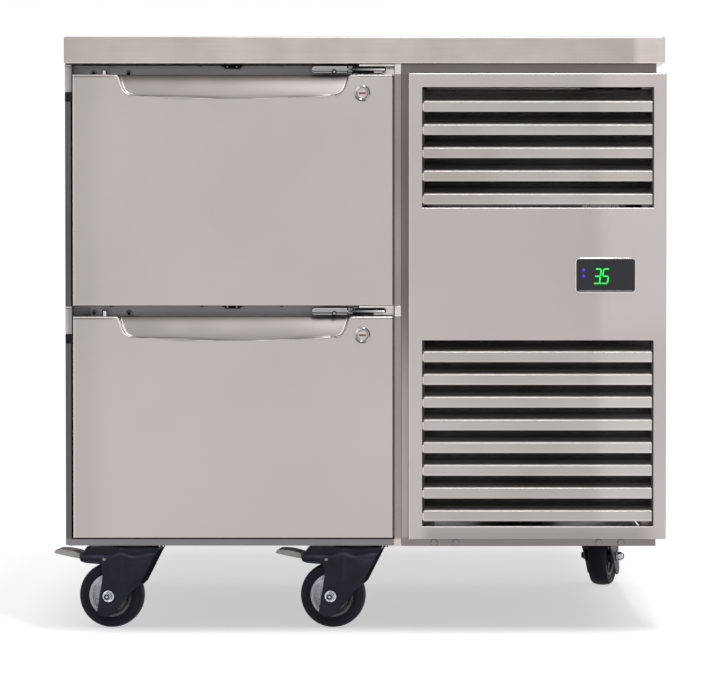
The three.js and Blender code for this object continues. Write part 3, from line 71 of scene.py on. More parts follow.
def cells(rows, columns, wrap=False):
    """Corner numbers of each quad of a grid stored row by row; wrap joins the last column to the first."""
    number = np.arange(rows * columns).reshape(rows, columns)
    left = number if wrap else number[:, :-1]
    right = np.roll(number, -1, axis=1) if wrap else number[:, 1:]
    return np.stack([left[:-1], right[:-1], right[1:], left[1:]], -1).reshape(-1, 4).tolist()


def closed_tube(rows, count):
    """Quads round a stack of rings with count points each, and a face over each end."""
    last = (rows - 1) * count
    return cells(rows, count, wrap=True) + [list(range(count)), list(range(last, last + count))]


def joined(*shapes):
    """Shapes in one list of points, each one's faces counted on from the points before it."""
    points, faces, start = [], [], 0
    for shape_points, shape_faces in shapes:
        points.append(shape_points)
        faces += [[number + start for number in face] for face in shape_faces]
        start += len(shape_points)
    return np.concatenate(points), faces


def along(axis, across, level):
    """Points whose two values across the axis and level along it are given, in X, Y, Z order."""
    a, b = across
    level = level + 0 * a
    order = {"x": (level, a, b), "y": (a, level, b), "z": (a, b, level)}[axis]
    return np.stack(order, -1).reshape(-1, 3)


def turned(profile, centre=(0, 0, 0), axis="y", sides=56):
    """Profile of (radius, distance) turned round an axis: a = r cos t, b = r sin t, level = distance."""
    radius, level = np.asarray(profile, float).T[:, :, None]
    turn = np.linspace(0, 2 * np.pi, sides, endpoint=False)
    points = along(axis, (radius * np.cos(turn), radius * np.sin(turn)), level)
    return points + np.asarray(centre, float), cells(len(profile), sides, wrap=True)


def copies(profile, centres, axis="y", sides=32):
    """The same turned form at each of several centres."""
    return joined(*[turned(profile, centre, axis, sides) for centre in centres])


def quadratic(a, b, c, t):
    """(1-t)^2 a + 2t(1-t) b + t^2 c."""
    return (1 - t) ** 2 * np.array(a) + 2 * t * (1 - t) * np.array(b) + t**2 * np.array(c)


def rounded(corners, radius, steps=4):
    """Closed outline with a quadratic curve at each corner, between points a radius along its two sides."""
    corners = np.asarray(corners, float)
    share = np.linspace(0, 1, steps + 1)[:, None, None]
    longest_share = 0.48
    ends = []
    for other in (np.roll(corners, 1, 0), np.roll(corners, -1, 0)):
        side = other - corners
        length = np.linalg.norm(side, axis=1, keepdims=True)
        reach = np.minimum(np.broadcast_to(radius, len(corners))[:, None], length * longest_share)
        ends.append(corners + side / length * reach)
    return quadratic(ends[0], corners, ends[1], share).transpose(1, 0, 2).reshape(-1, 2)


def prism(outline, stretch, axis):
    """Closed outline carried along an axis between two levels, with a flat face at each end."""
    outline = np.asarray(outline, float)
    level = np.array(stretch, float)[:, None]
    points = along(axis, (outline[:, 0] + 0 * level, outline[:, 1] + 0 * level), level)
    return points, closed_tube(2, len(outline))


def box_outline(a, b, radius=0.0, steps=4):
    """Rectangle between two values each way, with rounded corners."""
    corners = [(a[0], b[0]), (a[1], b[0]), (a[1], b[1]), (a[0], b[1])]
    return rounded(corners, radius, steps) if radius else np.array(corners, float)


def block(a, b, radius, stretch, axis, steps=4):
    """Rounded rectangle a x b carried along an axis."""
    return prism(box_outline(a, b, radius, steps), stretch, axis)


def stacked(profile, a, b, corner, axis, steps=5):
    """Rounded rectangles, one for each (inset, level): a x b drawn in by the inset, closed at both ends."""
    least_corner = 0.4
    rows = []
    for inset, level in profile:
        inner = (a[0] + inset, a[1] - inset), (b[0] + inset, b[1] - inset)
        ring = box_outline(*inner, max(corner - inset, least_corner), steps)
        rows.append(along(axis, ring.T, level))
    return np.concatenate(rows), closed_tube(len(rows), len(rows[0]))


def smooth_step(value):
    """0 below 0, 1 above 1, and 3v^2 - 2v^3 between."""
    value = np.clip(value, 0, 1)
    return value * value * (3 - 2 * value)


def bump_at(value, middle, reach):
    """1 at the middle, falling off as e^-((v-m)/reach)^2."""
    return np.exp(-(((value - middle) / reach) ** 2))


def distinct(*values):
    """The values of several lists in order, to a micrometre, without repeats."""
    return np.unique(np.round(np.concatenate(values), 3))


def near(edge, sign, reach=4.0):
    """Values that crowd towards an edge, on the side that sign gives."""
    return edge + sign * reach * np.array([0, 0.04, 0.14, 0.3, 0.5, 0.75, 1.0])


def edge_fall(distance, radius):
    """How far a rounded fold has fallen back at a distance from its edge: r - sqrt(r^2 - (r-d)^2)."""
    short = np.clip(radius - distance, 0, radius)
    return radius - np.sqrt(np.maximum(radius**2 - short**2, 0))


def depth_in(a, b, span_a, span_b):
    """Distance from the nearest side of a rectangle: positive inside it, negative outside."""
    return np.minimum(np.minimum(a - span_a[0], span_a[1] - a), np.minimum(b - span_b[0], span_b[1] - b))


def pressed(x, z, y, back, hole=False, flange_top=math.inf):
    """Sheet over the grid x, z with its front at y, without the cells of the hole, and with a flange straight
    back from every open side below flange_top."""
    grid_x, grid_z = np.meshgrid(x, z)
    front = np.stack([grid_x, y, grid_z], -1).reshape(-1, 3)
    kept = ~np.broadcast_to(hole, (len(z) - 1, len(x) - 1))
    quads = np.array(cells(len(z), len(x)))[kept.ravel()]
    edges = np.stack([quads, np.roll(quads, -1, 1)], -1).reshape(-1, 2)
    _, first, count = np.unique(np.sort(edges, 1), axis=0, return_index=True, return_counts=True)
    rim = edges[first[count == 1]]
    rim = rim[front[rim].mean(1)[:, 2] < flange_top]
    deep = front.copy()
    deep[:, 1] = back
    flange = np.concatenate([rim[:, ::-1], rim + len(front)], 1)
    return np.concatenate([front, deep]), quads.tolist() + flange.tolist()


# ---------------------------------------------------------------- pieces
smooth_up_to, bevel_from, flat_within = 32, 35, 0.5  # degrees between faces


def weld(mesh, dissolve=0.0):
    """Merges doubles, drops what no face uses and turns the faces outwards."""
    same_place, no_length = 2e-6, 1e-7
    made = bmesh.new()
    made.from_mesh(mesh)
    bmesh.ops.remove_doubles(made, verts=made.verts, dist=same_place)
    bmesh.ops.dissolve_degenerate(made, edges=made.edges, dist=no_length)
    if dissolve:
        bmesh.ops.dissolve_limit(made, angle_limit=dissolve, verts=made.verts, edges=made.edges)
    bmesh.ops.delete(made, geom=[v for v in made.verts if not v.link_faces], context="VERTS")
    bmesh.ops.recalc_face_normals(made, faces=made.faces)
    made.to_mesh(mesh)
    made.free()


def dressed(mesh, name, finish, body, sharp, replaces, thick, bevel):
    """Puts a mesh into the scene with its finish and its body."""
    mesh.polygons.foreach_set("use_smooth", np.ones(len(mesh.polygons), bool))
    mesh.set_sharp_from_angle(angle=math.radians(sharp))
    mesh.materials.clear()
    mesh.materials.append(finish)
    made = bpy.data.objects.new(name, mesh)
    bpy.context.scene.collection.objects.link(made)
    if thick:
        wall = made.modifiers.new("sheet", "SOLIDIFY")
        wall.thickness = thick * metre
        wall.offset = -1
    if bevel:
        edge = made.modifiers.new("edges", "BEVEL")
        edge.width = bevel * metre
        edge.segments = 2
        edge.limit_method = "ANGLE"
        edge.angle_limit = math.radians(bevel_from)
        edge.harden_normals = True
    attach(made, body)
    if replaces:
        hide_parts(*replaces)


def piece(
    name, shape, finish, body="cabinet", slot="stainless", sharp=smooth_up_to, replaces=(), thick=0.0, bevel=0.0,
    tone=1.0, at=(0, 0, 0), yaw=0.0,
):
    """A finished object: the shape turned by yaw degrees round Z and moved to its place, welded, its faces
    outwards, smooth up to the sharp angle. Its tone is a share of the finish's colour that paints light and shade
    onto it: one number, or a function of x, y and z as the shape was drawn."""
    points, faces = shape
    sine, cosine = math.sin(math.radians(yaw)), math.cos(math.radians(yaw))
    turn = np.array([[cosine, sine, 0], [-sine, cosine, 0], [0, 0, 1]])
    middle = bench_middle + at
    mesh = bpy.data.meshes.new(name)
    mesh.from_pydata(((points @ turn + middle) * metre).tolist(), [], faces)
    weld(mesh)
    place = np.empty(len(mesh.vertices) * 3)
    mesh.vertices.foreach_get("co", place)
    x, y, z = ((place.reshape(-1, 3) / metre - middle) @ turn.T).T
    share = mesh.attributes.new("tone", "FLOAT", "POINT")
    share.data.foreach_set("value", tone(x, y, z) if callable(tone) else np.full(len(x), tone))
    dressed(mesh, name, finish, body, sharp, replaces, thick, bevel)


def softened(node, finish):
    """A CAD node's own form with its doubles merged, its flat faces whole and its edges eased."""
    mesh, name = nodes[node].data.copy(), node + "_form"
    weld(mesh, dissolve=math.radians(flat_within))
    mesh.name = name
    dressed(mesh, name, finish, "cabinet", smooth_up_to, (node,), thick=0, bevel=0.5)


def painted(finish, *names):
    """A CAD node keeps its form and takes this finish."""
    for name in names:
        nodes[name].material_slots[0].material = finish


# ---------------------------------------------------------------- finishes
# Where a noise reaches its end colours and its end roughnesses, and how deep its relief is in metres.
colour_ends, rough_ends, relief_depth = (0.34, 0.66), (0.3, 0.7), 0.0006


def wired(tree, kind, inputs=(), **settings):
    """A shader node with these settings; each input is set to a value or linked to another node's output."""
    made = tree.nodes.new("ShaderNode" + kind)
    for name, value in settings.items():
        setattr(made, name, value)
    for socket, value in dict(inputs).items():
        if isinstance(value, bpy.types.NodeSocket):
            tree.links.new(value, made.inputs[socket])
        else:
            made.inputs[socket].default_value = value
    return made


def between(tree, value, start, end, low, high, **settings):
    """A value mapped so that start to end becomes low to high."""
    inputs = {"Value": value, "From Min": start, "From Max": end, "To Min": low, "To Max": high}
    return wired(tree, "MapRange", inputs, **settings).outputs["Result"]


def multiplied(tree, colour, share):
    """The colour times a share, which is a number or a colour."""
    return wired(tree, "VectorMath", {0: colour, 1: share}, operation="MULTIPLY").outputs["Vector"]


def finish(
    name, dark, light, rough, cloud, metallic=0.0, grain=None, grain_share=0.0, bump=0.0, toned=False, bands=(),
    **fixed,
):
    """Procedural finish: colour and roughness run between two values with a cloudy noise of the scale cloud and,
    where given, a share of grain stretched by a (x, y, z) scale. A toned finish is multiplied by its piece's
    tone of painted light and shade, and each band (axis, from, to, before, after) by a colour that changes along
    an axis, which paints light and shade."""
    made = bpy.data.materials.new(name)
    made.use_nodes = True
    tree = made.node_tree
    surface = tree.nodes["Principled BSDF"]
    surface.inputs["Metallic"].default_value = metallic
    for socket, value in fixed.items():
        surface.inputs[socket.replace("_", " ")].default_value = value
    place = wired(tree, "TexCoord").outputs["Object"]
    pattern = wired(tree, "TexNoise", {"Vector": place, "Scale": cloud, "Detail": 4.0}).outputs["Fac"]
    if grain:
        stretch = wired(tree, "Mapping", {"Vector": place, "Scale": grain}).outputs["Vector"]
        threads = wired(tree, "TexNoise", {"Vector": stretch, "Scale": 1.0, "Detail": 2.0}).outputs["Fac"]
        pattern = wired(tree, "Mix", {"Factor": grain_share, "A": pattern, "B": threads}).outputs["Result"]
    ramp = wired(tree, "ValToRGB", {"Fac": pattern})
    for end, position, colour in zip(ramp.color_ramp.elements, colour_ends, (dark, light)):
        end.position = position
        end.color = (*colour, 1)
    colour = ramp.outputs["Color"]
    if toned:
        colour = multiplied(tree, colour, wired(tree, "Attribute", attribute_name="tone").outputs["Fac"])
    if bands:
        parts = wired(tree, "SeparateXYZ", {"Vector": place}).outputs
    for axis, first, last, before, after in bands:
        start, end = (np.array([first, last]) + bench_middle["XYZ".index(axis)]) * metre
        band = between(tree, parts[axis], start, end, 0, 1, interpolation_type="SMOOTHSTEP")
        tint = wired(tree, "Mix", {"Factor": band, 6: (*before, 1), 7: (*after, 1)}, data_type="RGBA")
        colour = multiplied(tree, colour, tint.outputs[2])
    tree.links.new(colour, surface.inputs["Base Color"])
    tree.links.new(between(tree, pattern, *rough_ends, *rough), surface.inputs["Roughness"])
    if bump:
        relief = wired(tree, "Bump", {"Height": pattern, "Strength": bump, "Distance": relief_depth})
        tree.links.new(relief.outputs["Normal"], surface.inputs["Normal"])
    return made


def brushed(name, dark, light, cloud, grain, grain_share=0.2, bump=0.04, rough=(0.36, 0.46), **more):
    """Bare metal with a grain."""
    return finish(name, dark, light, rough, cloud, 1.0, grain, grain_share, bump, **more)


def mirrored(made, stops):
    """Gives a bright metal the dark streaks of a dim room: its colour is multiplied by a ramp of how far the
    surface turns away from the eye."""
    tree = made.node_tree
    surface = tree.nodes["Principled BSDF"]
    before = surface.inputs["Base Color"].links[0].from_socket
    turn = wired(tree, "LayerWeight", {"Blend": 0.5})
    ramp = wired(tree, "ValToRGB", {"Fac": turn.outputs["Facing"]})
    ramp.color_ramp.interpolation = "EASE"
    steps = ramp.color_ramp.elements
    inner = [steps.new(position) for position, _ in stops[1:-1]]
    for step, (_, value) in zip((steps[0], *inner, steps[-1]), stops):
        step.color = (value, value, value, 1)
    tree.links.new(multiplied(tree, before, ramp.outputs["Color"]), surface.inputs["Base Color"])
    return made


def grey(value, tint=(1.0, 0.921, 0.895)):
    """Colour of a grey in linear light with a warm tint."""
    return tuple(value * part for part in tint)


upright, level_grain = (420.0, 420.0, 5.0), (5.0, 420.0, 420.0)
even, cool, warm = (1.0, 1.0, 1.0), (1.0, 0.96, 1.0), (1.0, 0.90, 0.84)
rosy = (1.0, 0.95, 0.97)
front_steel = brushed(
    "front steel", grey(0.460), grey(0.482), 5.0, upright, 0.1, 0.02, (0.34, 0.44), toned=True
)
# The bench's bands paint its reflection along the front: darker at the left end, a little dimmer towards the right and
# a painted highlight at the right end.
bench_bands = (
    ("X", -447, -385, grey(0.88, even), even),
    ("X", -130, 380, even, grey(0.92, (1.0, 0.985, 0.97))),
    ("X", 398, 412, even, grey(1.38, even)),
)
bench_steel = brushed(
    "bench steel", grey(0.460, (1.0, 0.91, 0.85)), grey(0.530, (1.0, 0.92, 0.87)), 16.0, level_grain, 0.28, 0.05,
    (0.30, 0.40), toned=True, bands=bench_bands,
)
# The slat steel's bands paint a reflection across the louvres: slowly dimmer to the right, then a lighter painted
# reflection from X = 336.
slat_steel = brushed(
    "slat steel", grey(0.385, (1.0, 0.93, 0.87)), grey(0.455, (1.0, 0.95, 0.92)), 7.0, level_grain, 0.15,
    rough=(0.34, 0.46), toned=True,
    bands=(("X", 90, 340, even, grey(0.96, even)), ("X", 336, 366, even, grey(1.18, even))),
)
plate_steel = brushed("plate steel", grey(0.40, rosy), grey(0.45, rosy), 14.0, level_grain, toned=True)
pale_plate = brushed(
    "pale plate", grey(0.60, (1.0, 0.93, 0.87)), grey(0.74, (1.0, 0.94, 0.90)), 40.0, level_grain,
    rough=(0.12, 0.2),
)
# The frame steel's low base colour paints the shade of the gaps it lies in, and its bands paint light and shade: dim
# on the stile's front, brighter deep in the header and rails, a warm painted highlight on the mullion's face and a
# brighter lower edge of the base rail.
frame_bands = (
    ("Y", -332, -302, grey(0.62, even), grey(1.6, even)),
    ("X", 43.6, 44.8, even, grey(2.75, warm)),
    ("Z", 150, 144, even, grey(1.95, even)),
)
frame_steel = brushed("frame steel", grey(0.150, cool), grey(0.178, cool), 7.0, level_grain, bands=frame_bands)
# The bay steel's low base colour paints the shade the bay frame stands in, and its bands paint light: brighter towards
# the bottom, dimmer at its lowest edge and a little brighter on its header strip.
bay_bands = (
    ("Z", 530, 330, even, grey(2.2, even)),
    ("Z", 152, 146, even, grey(0.66, (1.0, 1.02, 1.05))),
    ("Z", 842, 850, even, grey(1.12, even)),
)
bay_steel = brushed(
    "bay steel", grey(0.138, (1.0, 0.88, 0.83)), grey(0.164, (1.0, 0.89, 0.84)), 7.0, upright, bands=bay_bands
)
case_steel = brushed("case steel", grey(0.42), grey(0.47), 4.0, upright)
zinc = finish("zinc plate", (0.50, 0.52, 0.55), (0.58, 0.60, 0.62), (0.26, 0.34), 160.0, 1.0)
bright_zinc = mirrored(
    finish("bright zinc", (0.60, 0.64, 0.74), (0.84, 0.88, 0.95), (0.14, 0.24), 120.0, 1.0, toned=True),
    ((0.0, 0.9), (0.2, 0.8), (0.42, 0.12), (0.7, 0.6), (1.0, 0.15)),
)
brass = finish("worn brass", (0.28, 0.20, 0.12), (0.55, 0.44, 0.30), (0.25, 0.4), 300.0, 1.0, bump=0.1)
bright_chrome = mirrored(
    finish("bright chrome", (0.78, 0.79, 0.82), (0.86, 0.87, 0.89), (0.05, 0.10), 30.0, 1.0, toned=True),
    ((0.0, 0.62), (0.07, 0.95), (0.17, 1.0), (0.27, 0.12), (0.42, 0.06), (0.55, 0.75), (0.72, 0.2), (1.0, 0.05)),
)
foam = finish("rigid foam", (0.72, 0.62, 0.36), (0.82, 0.74, 0.50), (0.8, 0.95), 90.0, bump=0.3)
liner = finish("liner sheet", (0.74, 0.76, 0.77), (0.80, 0.82, 0.83), (0.30, 0.42), 8.0)
seal = finish("seal rubber", (0.045, 0.046, 0.05), (0.07, 0.071, 0.075), (0.55, 0.7), 50.0, bump=0.1)
black_nylon = finish(
    "black nylon", (0.008, 0.008, 0.012), (0.020, 0.020, 0.026), (0.45, 0.6), 80.0, bump=0.08,
    Specular_IOR_Level=0.12,
)
grey_nylon = finish(
    "grey nylon", (0.050, 0.050, 0.056), (0.075, 0.074, 0.080), (0.45, 0.6), 80.0, bump=0.08,
    Specular_IOR_Level=0.3,
)
fins = finish("bare fins", (0.42, 0.43, 0.44), (0.56, 0.57, 0.57), (0.3, 0.45), 30.0, 1.0)
black_enamel = finish(
    "black enamel", (0.010, 0.011, 0.014), (0.020, 0.021, 0.026), (0.3, 0.45), 25.0, Specular_IOR_Level=0.3
)
fork_enamel = finish(
    "fork enamel", (0.0250, 0.0270, 0.0440), (0.0470, 0.0500, 0.0700), (0.34, 0.50), 34.0, bump=0.05, toned=True,
    Specular_IOR_Level=0.14,
)
matt_enamel = finish(
    "matt enamel", (0.034, 0.036, 0.052), (0.050, 0.052, 0.070), (0.8, 0.9), 34.0, Specular_IOR_Level=0.0
)
tyre_rubber = finish(
    "tyre rubber", (0.0200, 0.0230, 0.0380), (0.0400, 0.0430, 0.0620), (0.5, 0.7), 35.0, bump=0.10,
    Specular_IOR_Level=0.14,
)
hub_nylon = finish("hub nylon", (0.86, 0.86, 0.94), (0.95, 0.95, 1.0), (0.35, 0.5), 40.0, bump=0.05, toned=True)
pedal_nylon = finish("pedal nylon", (0.78, 0.73, 0.67), (0.92, 0.88, 0.82), (0.4, 0.55), 60.0, bump=0.08)
dark_glass = finish(
    "dark glass", (0.010, 0.010, 0.016), (0.015, 0.015, 0.022), (0.10, 0.14), 12.0, toned=True,
    Specular_IOR_Level=0.42,
)
red_nylon = finish("red nylon", (0.42, 0.012, 0.012), (0.60, 0.04, 0.03), (0.3, 0.4), 200.0)


def glowing(name, colour, strength):
    """A lit figure: its colour as light, a little uneven across it."""
    made = finish(name, colour, colour, (0.2, 0.3), 400.0)
    surface = made.node_tree.nodes["Principled BSDF"]
    surface.inputs["Emission Color"].default_value = (*colour, 1)
    surface.inputs["Emission Strength"].default_value = strength
    return made


green_glow = glowing("green figure", (0.0, 0.95, 0.10), 0.95)
blue_glow = glowing("blue lamp", (0.035, 0.015, 0.85), 0.9)


# ---------------------------------------------------------------- worktop
bench_x, bench_y, bench_low, bench_high = (-450.0, 450.0), (-350.0, 350.0), 860.0, 900.0


def worktop():
    """Folded pan: a top with a small round edge, a straight apron and a turned-in return, 1.5 thick."""
    fold, upper, lower = np.linspace(0, np.pi / 2, 5), 2.2, 1.8
    above = [(upper * (1 - math.sin(t)), bench_high - upper * (1 - math.cos(t))) for t in fold]
    below = [(lower * (1 - math.cos(t)), bench_low + lower * (1 - math.sin(t))) for t in fold]
    inside = [(24, bench_low), (24, 861.5), (3, 861.5), (1.6, 863), (1.6, 898.4)]
    profile = [(30, bench_high), *above, (0, 896.5), (0, 863.2), *below, *inside]
    return stacked(profile, bench_x, bench_y, 5.0, "z")


def worktop_tone(x, y, z):
    """Painted shade along the upper fold of the front and a painted highlight along the lower fold."""
    upper, lower = smooth_step((z - 898.0) / 1.2), smooth_step((862.2 - z) / 1.2)
    return 1 - 0.3 * upper * (y < -349) + 0.16 * lower


piece("worktop_sheet", worktop(), bench_steel, replaces=("worktop",), tone=worktop_tone)

# ---------------------------------------------------------------- drawers
drawer_left, drawer_right, drawer_face, drawer_back = -438.0, 42.7, -342.0, -302.4
scoop_left, scoop_right = -370.0, -22.0
drawers = {"upper": (497.2, 844.0), "lower": (148.0, 481.2)}
lock_x, lock_drop = -3.3, 28


def scoop_outline():
    """Lower edge of the finger scoop as (x, depth): a small bend out of the top edge, a cubic end, a long
    quadratic sag and the same ends mirrored."""
    t = np.linspace(0, 1, 28)[:, None]
    bend = quadratic([-4.0, 0], [0.2, 0.2], [1.6, 4.6], t)
    a, b, c, d = np.array([[1.6, 4.6], [6.0, 18], [7.5, 28.5], [20, 31]])
    end = (1 - t) ** 3 * a + 3 * t * (1 - t) ** 2 * b + 3 * t**2 * (1 - t) * c + t**3 * d
    width = scoop_right - scoop_left
    sag = quadratic(d, [width / 2, 41.6], [width - d[0], d[1]], t)
    side = np.concatenate([bend, end[1:]])
    right = side[::-1] * (-1, 1) + (width, 0)
    return np.concatenate([side, sag[1:], right[1:]]) + (scoop_left, 0)


def scoop_place(x, drop):
    """Distance from the scoop's edge at x and at a drop below the top: positive inside, negative outside."""
    outline = scoop_outline()
    away = np.hypot(x[..., None] - outline[:, 0], drop[..., None] - outline[:, 1]).min(-1)
    lowest = np.interp(x, outline[:, 0], outline[:, 1], left=-1, right=-1)
    return np.where(drop < lowest, away, -away)


def scoop_depth(x, drop):
    """How far the scoop goes back: 15 at the top, 0.5 at its lower edge, over a rounded wall 3 wide."""
    rise = np.clip(1 - drop / 38.0, 0, 1)
    return (0.5 + 14.5 * rise**1.35) * smooth_step((scoop_place(x, drop) + 0.5) / 3.0)


def outside_ends(x):
    """1 over the plain ends of the top edge, 0 over the scoop, with 8 between."""
    return smooth_step(np.maximum(scoop_left - 3 - x, x - scoop_right - 3) / 8)


def drawer_front(bottom, top):
    """Pressed pan: a face with eased edges and the scoop, side and bottom flanges, and a top with its finger
    channel and cam slot. A shallow groove 3.2 below the top edge makes it a bead."""
    slots = [((-341.5, -50.5), (-323.6, -308.4), 24.0), ((-41.8, 7.2), (-326.2, -320.2), 30.0)]
    slot_x = [[low - 0.5, low, low + 0.7, high - 0.7, high, high + 0.5] for (low, high), _, _ in slots]
    x = distinct(
        np.linspace(drawer_left, drawer_right, 41), np.linspace(scoop_left - 6, scoop_left + 26, 70),
        np.linspace(scoop_right - 26, scoop_right + 6, 70), *slot_x, near(drawer_left, 1), near(drawer_right, -1),
    )
    z = distinct(
        near(bottom, 1), np.linspace(bottom + 6, top - 46, 7), np.linspace(top - 44, top - 5, 82),
        np.linspace(top - 4.6, top - 1.6, 11), near(top, -1),
    )
    grid_x, grid_z = np.meshgrid(x, z)
    drop = top - grid_z
    scoop = scoop_depth(grid_x, drop)
    sides = np.minimum(grid_x - drawer_left, drawer_right - grid_x)
    eased = edge_fall(np.minimum(sides, grid_z - bottom), 2.4)
    eased = np.maximum(eased, edge_fall(drop, 1.8)) * np.where(scoop > 0.3, np.clip(1 - scoop / 6, 0.25, 1), 1)
    groove = 0.55 * bump_at(drop, 3.2, 0.7) * outside_ends(grid_x)
    y = drawer_face + scoop + eased + groove
    back = [-325.9, -325.2, -323.2, -322.6, -321.2, -320.4, -316, -309.4, -308.8, -308, drawer_back]
    flat_x, flat_y = np.meshgrid(x, back)
    sunk = np.zeros_like(flat_x)
    for slot_across, slot_back, deep in slots:
        room = depth_in(flat_x, flat_y, slot_across, slot_back)
        sunk = np.maximum(sunk, deep * smooth_step((room + 0.1) / 0.7))
    lip = np.stack([x, y[-1], np.full_like(x, top)], -1)
    rows = np.stack([flat_x, flat_y, top - sunk], -1).reshape(-1, 3)
    deck = np.concatenate([lip, rows]), cells(len(back) + 1, len(x))
    return joined(pressed(x, z, y, drawer_back, flange_top=top), deck)


def drawer_tone(top):
    """Painted light and shade on a drawer front: a painted highlight on the top bead over a painted dark line in the
    groove, a painted highlight on the left fold and painted shade on the right one. The scoop is toned down with
    painted shade, most of all under the bench, with painted highlights on its side walls over a painted dim lower
    edge; the face darkens a little towards its left end, also painted shade."""

    def tone(x, y, z):
        drop = top - z
        place = scoop_place(x, drop)
        plain = outside_ends(x)
        inside = smooth_step((place - 0.4) / 1.2)
        share = 1 + 0.30 * plain * smooth_step((2.3 - drop) / 0.5) - 0.80 * plain * bump_at(drop, 3.3, 0.9)
        share = share + 0.45 * smooth_step((drawer_left + 3.0 - x) / 0.8)
        share = share - 0.35 * smooth_step((x - drawer_right + 1.2) / 1.0)
        waves = 0.03 * np.sin(x / 17.0 + 1.3 * np.sin(x / 41.0)) * np.sin(z / 9.0)
        share = share * (1 + inside * (waves - 0.42))
        share = share * (1 - 0.42 * inside * (1 - smooth_step((drop + 1.0) / 13.0)))
        left = x < (scoop_left + scoop_right) / 2
        rim = bump_at(place, -0.9, 1.0) * (drop < 40) * (drop > 1.0)
        steep = smooth_step((31.5 - drop) / 6)
        share = share + np.where(left, 0.50, -0.18) * rim * steep - 0.12 * rim * (1 - steep)
        share = share * (1 + np.where(left, 2.6, 2.2) * steep * bump_at(place, 1.5, 1.5) * (drop < 40))
        share = share * (1 - 0.55 * (1 - steep) * bump_at(place, 1.4, 2.4) * (drop < 42))
        share = share * (1 - 0.10 * smooth_step((-383 - x) / 40) * (1 - inside))
        return np.where(y < -325, share, 1.0)

    return tone


def top_pin():
    """Bright pin on the drawer's top edge: a stem, a groove and a domed head."""
    profile = [
        (0, -0.5), (3.9, -0.5), (3.9, 1.2), (3.7, 2.2), (3.7, 6.2), (3.5, 7.6), (2.6, 8.6), (1.2, 9.0), (0, 9.0),
    ]
    return turned(profile, axis="z", sides=32)


# Each lock is drawn round its own middle.
def lock_ring():
    """Chromed ring: a flat back, a crowned front and a bevel down to the rotor."""
    profile = [
        (8.4, -341.9), (12.0, -341.9), (12.0, -343.0), (11.6, -343.9), (10.8, -344.4), (9.8, -344.5),
        (9.0, -344.2), (8.4, -343.6), (8.4, -341.9),
    ]
    return turned(profile, sides=64)


def lock_tube():
    """Barrel behind the front: a plain tube with an end chamfer."""
    profile = [(6.6, -341.9), (9.0, -341.9), (9.0, -326.0), (8.4, -325.2), (6.6, -325.2), (6.6, -341.9)]
    return turned(profile, sides=40)


def lock_face():
    """Rotor face: a shallow dish with a raised lip at its rim, and the stem and cam behind."""
    dish = [
        (0, -343.2), (5.2, -343.3), (7.2, -343.7), (7.9, -343.9), (8.2, -343.5), (8.2, -342.2), (6.2, -342.2),
        (6.2, -321.6), (0, -321.6),
    ]
    return joined(turned(dish, sides=64), block((-37, 4.5), (-4.5, 4.5), 4.2, (-324.6, -321.8), "y"))


def key_slot(grow, front, back):
    """Level keyway with round ends, grown all round."""
    return block((-5.2 - grow, 5.2 + grow), (-1.2 - grow, 1.2 + grow), 1.1 + grow, (front, back), "y", 6)


def ring_tone(x, y, z):
    """Painted reflection round a lock ring: a painted highlight at its upper left, two dark painted arcs on its rim
    and painted shade on its bevel.
    """
    turn, radius = np.arctan2(z, x), np.hypot(x, z)
    rim = smooth_step((radius - 9.9) / 0.6)
    arcs = np.maximum(smooth_step(1 - np.abs(turn - 0.5) / 0.9), smooth_step(1 - np.abs(turn + 1.9) / 1.1))
    bevel = smooth_step((9.4 - radius) / 0.8)
    return 0.56 + 0.5 * bump_at(turn, 2.4, 0.45) - 0.50 * rim * smooth_step(arcs * 4) - 0.30 * bevel


def dish_tone(x, y, z):
    """A dim ring of painted shade inside the rotor's lip."""
    return 1.08 - 0.35 * bump_at(np.hypot(x, z), 7.4, 0.5)


for place, (bottom, top) in drawers.items():
    drawer, rotor, lock = f"drawer_{place}", f"lock_{place}", (lock_x, 0, top - lock_drop)
    piece(
        f"drawer_face_{place}", drawer_front(bottom, top), front_steel, drawer, sharp=40,
        replaces=(f"drawer_front_{place}",), thick=1.0, tone=drawer_tone(top),
    )
    piece(f"top_pin_{place}", top_pin(), bright_chrome, drawer, "chrome", at=(-393, -310, top))
    piece(
        f"lock_ring_{place}", lock_ring(), bright_chrome, drawer, "chrome", 28, (f"lock_barrel_{place}",),
        tone=ring_tone, at=lock,
    )
    piece(f"lock_tube_{place}", lock_tube(), zinc, drawer, "chrome", at=lock)
    piece(
        f"lock_face_{place}", lock_face(), front_steel, rotor, "chrome", 24, (f"lock_rotor_{place}",),
        tone=dish_tone, at=lock,
    )
    piece(f"key_lip_{place}", key_slot(0.7, -343.75, -343.1), slat_steel, rotor, "chrome", bevel=0.2, at=lock)
    piece(f"keyway_{place}", key_slot(0, -343.85, -343.2), black_nylon, rotor, "black_plastic", at=lock)
    shutter = block((-4.9, 4.9), (-1.15, 0.75), 0.5, (-343.98, -343.3), "y")
    piece(f"dust_shutter_{place}", shutter, red_nylon, rotor, "chrome", bevel=0.15, at=lock)


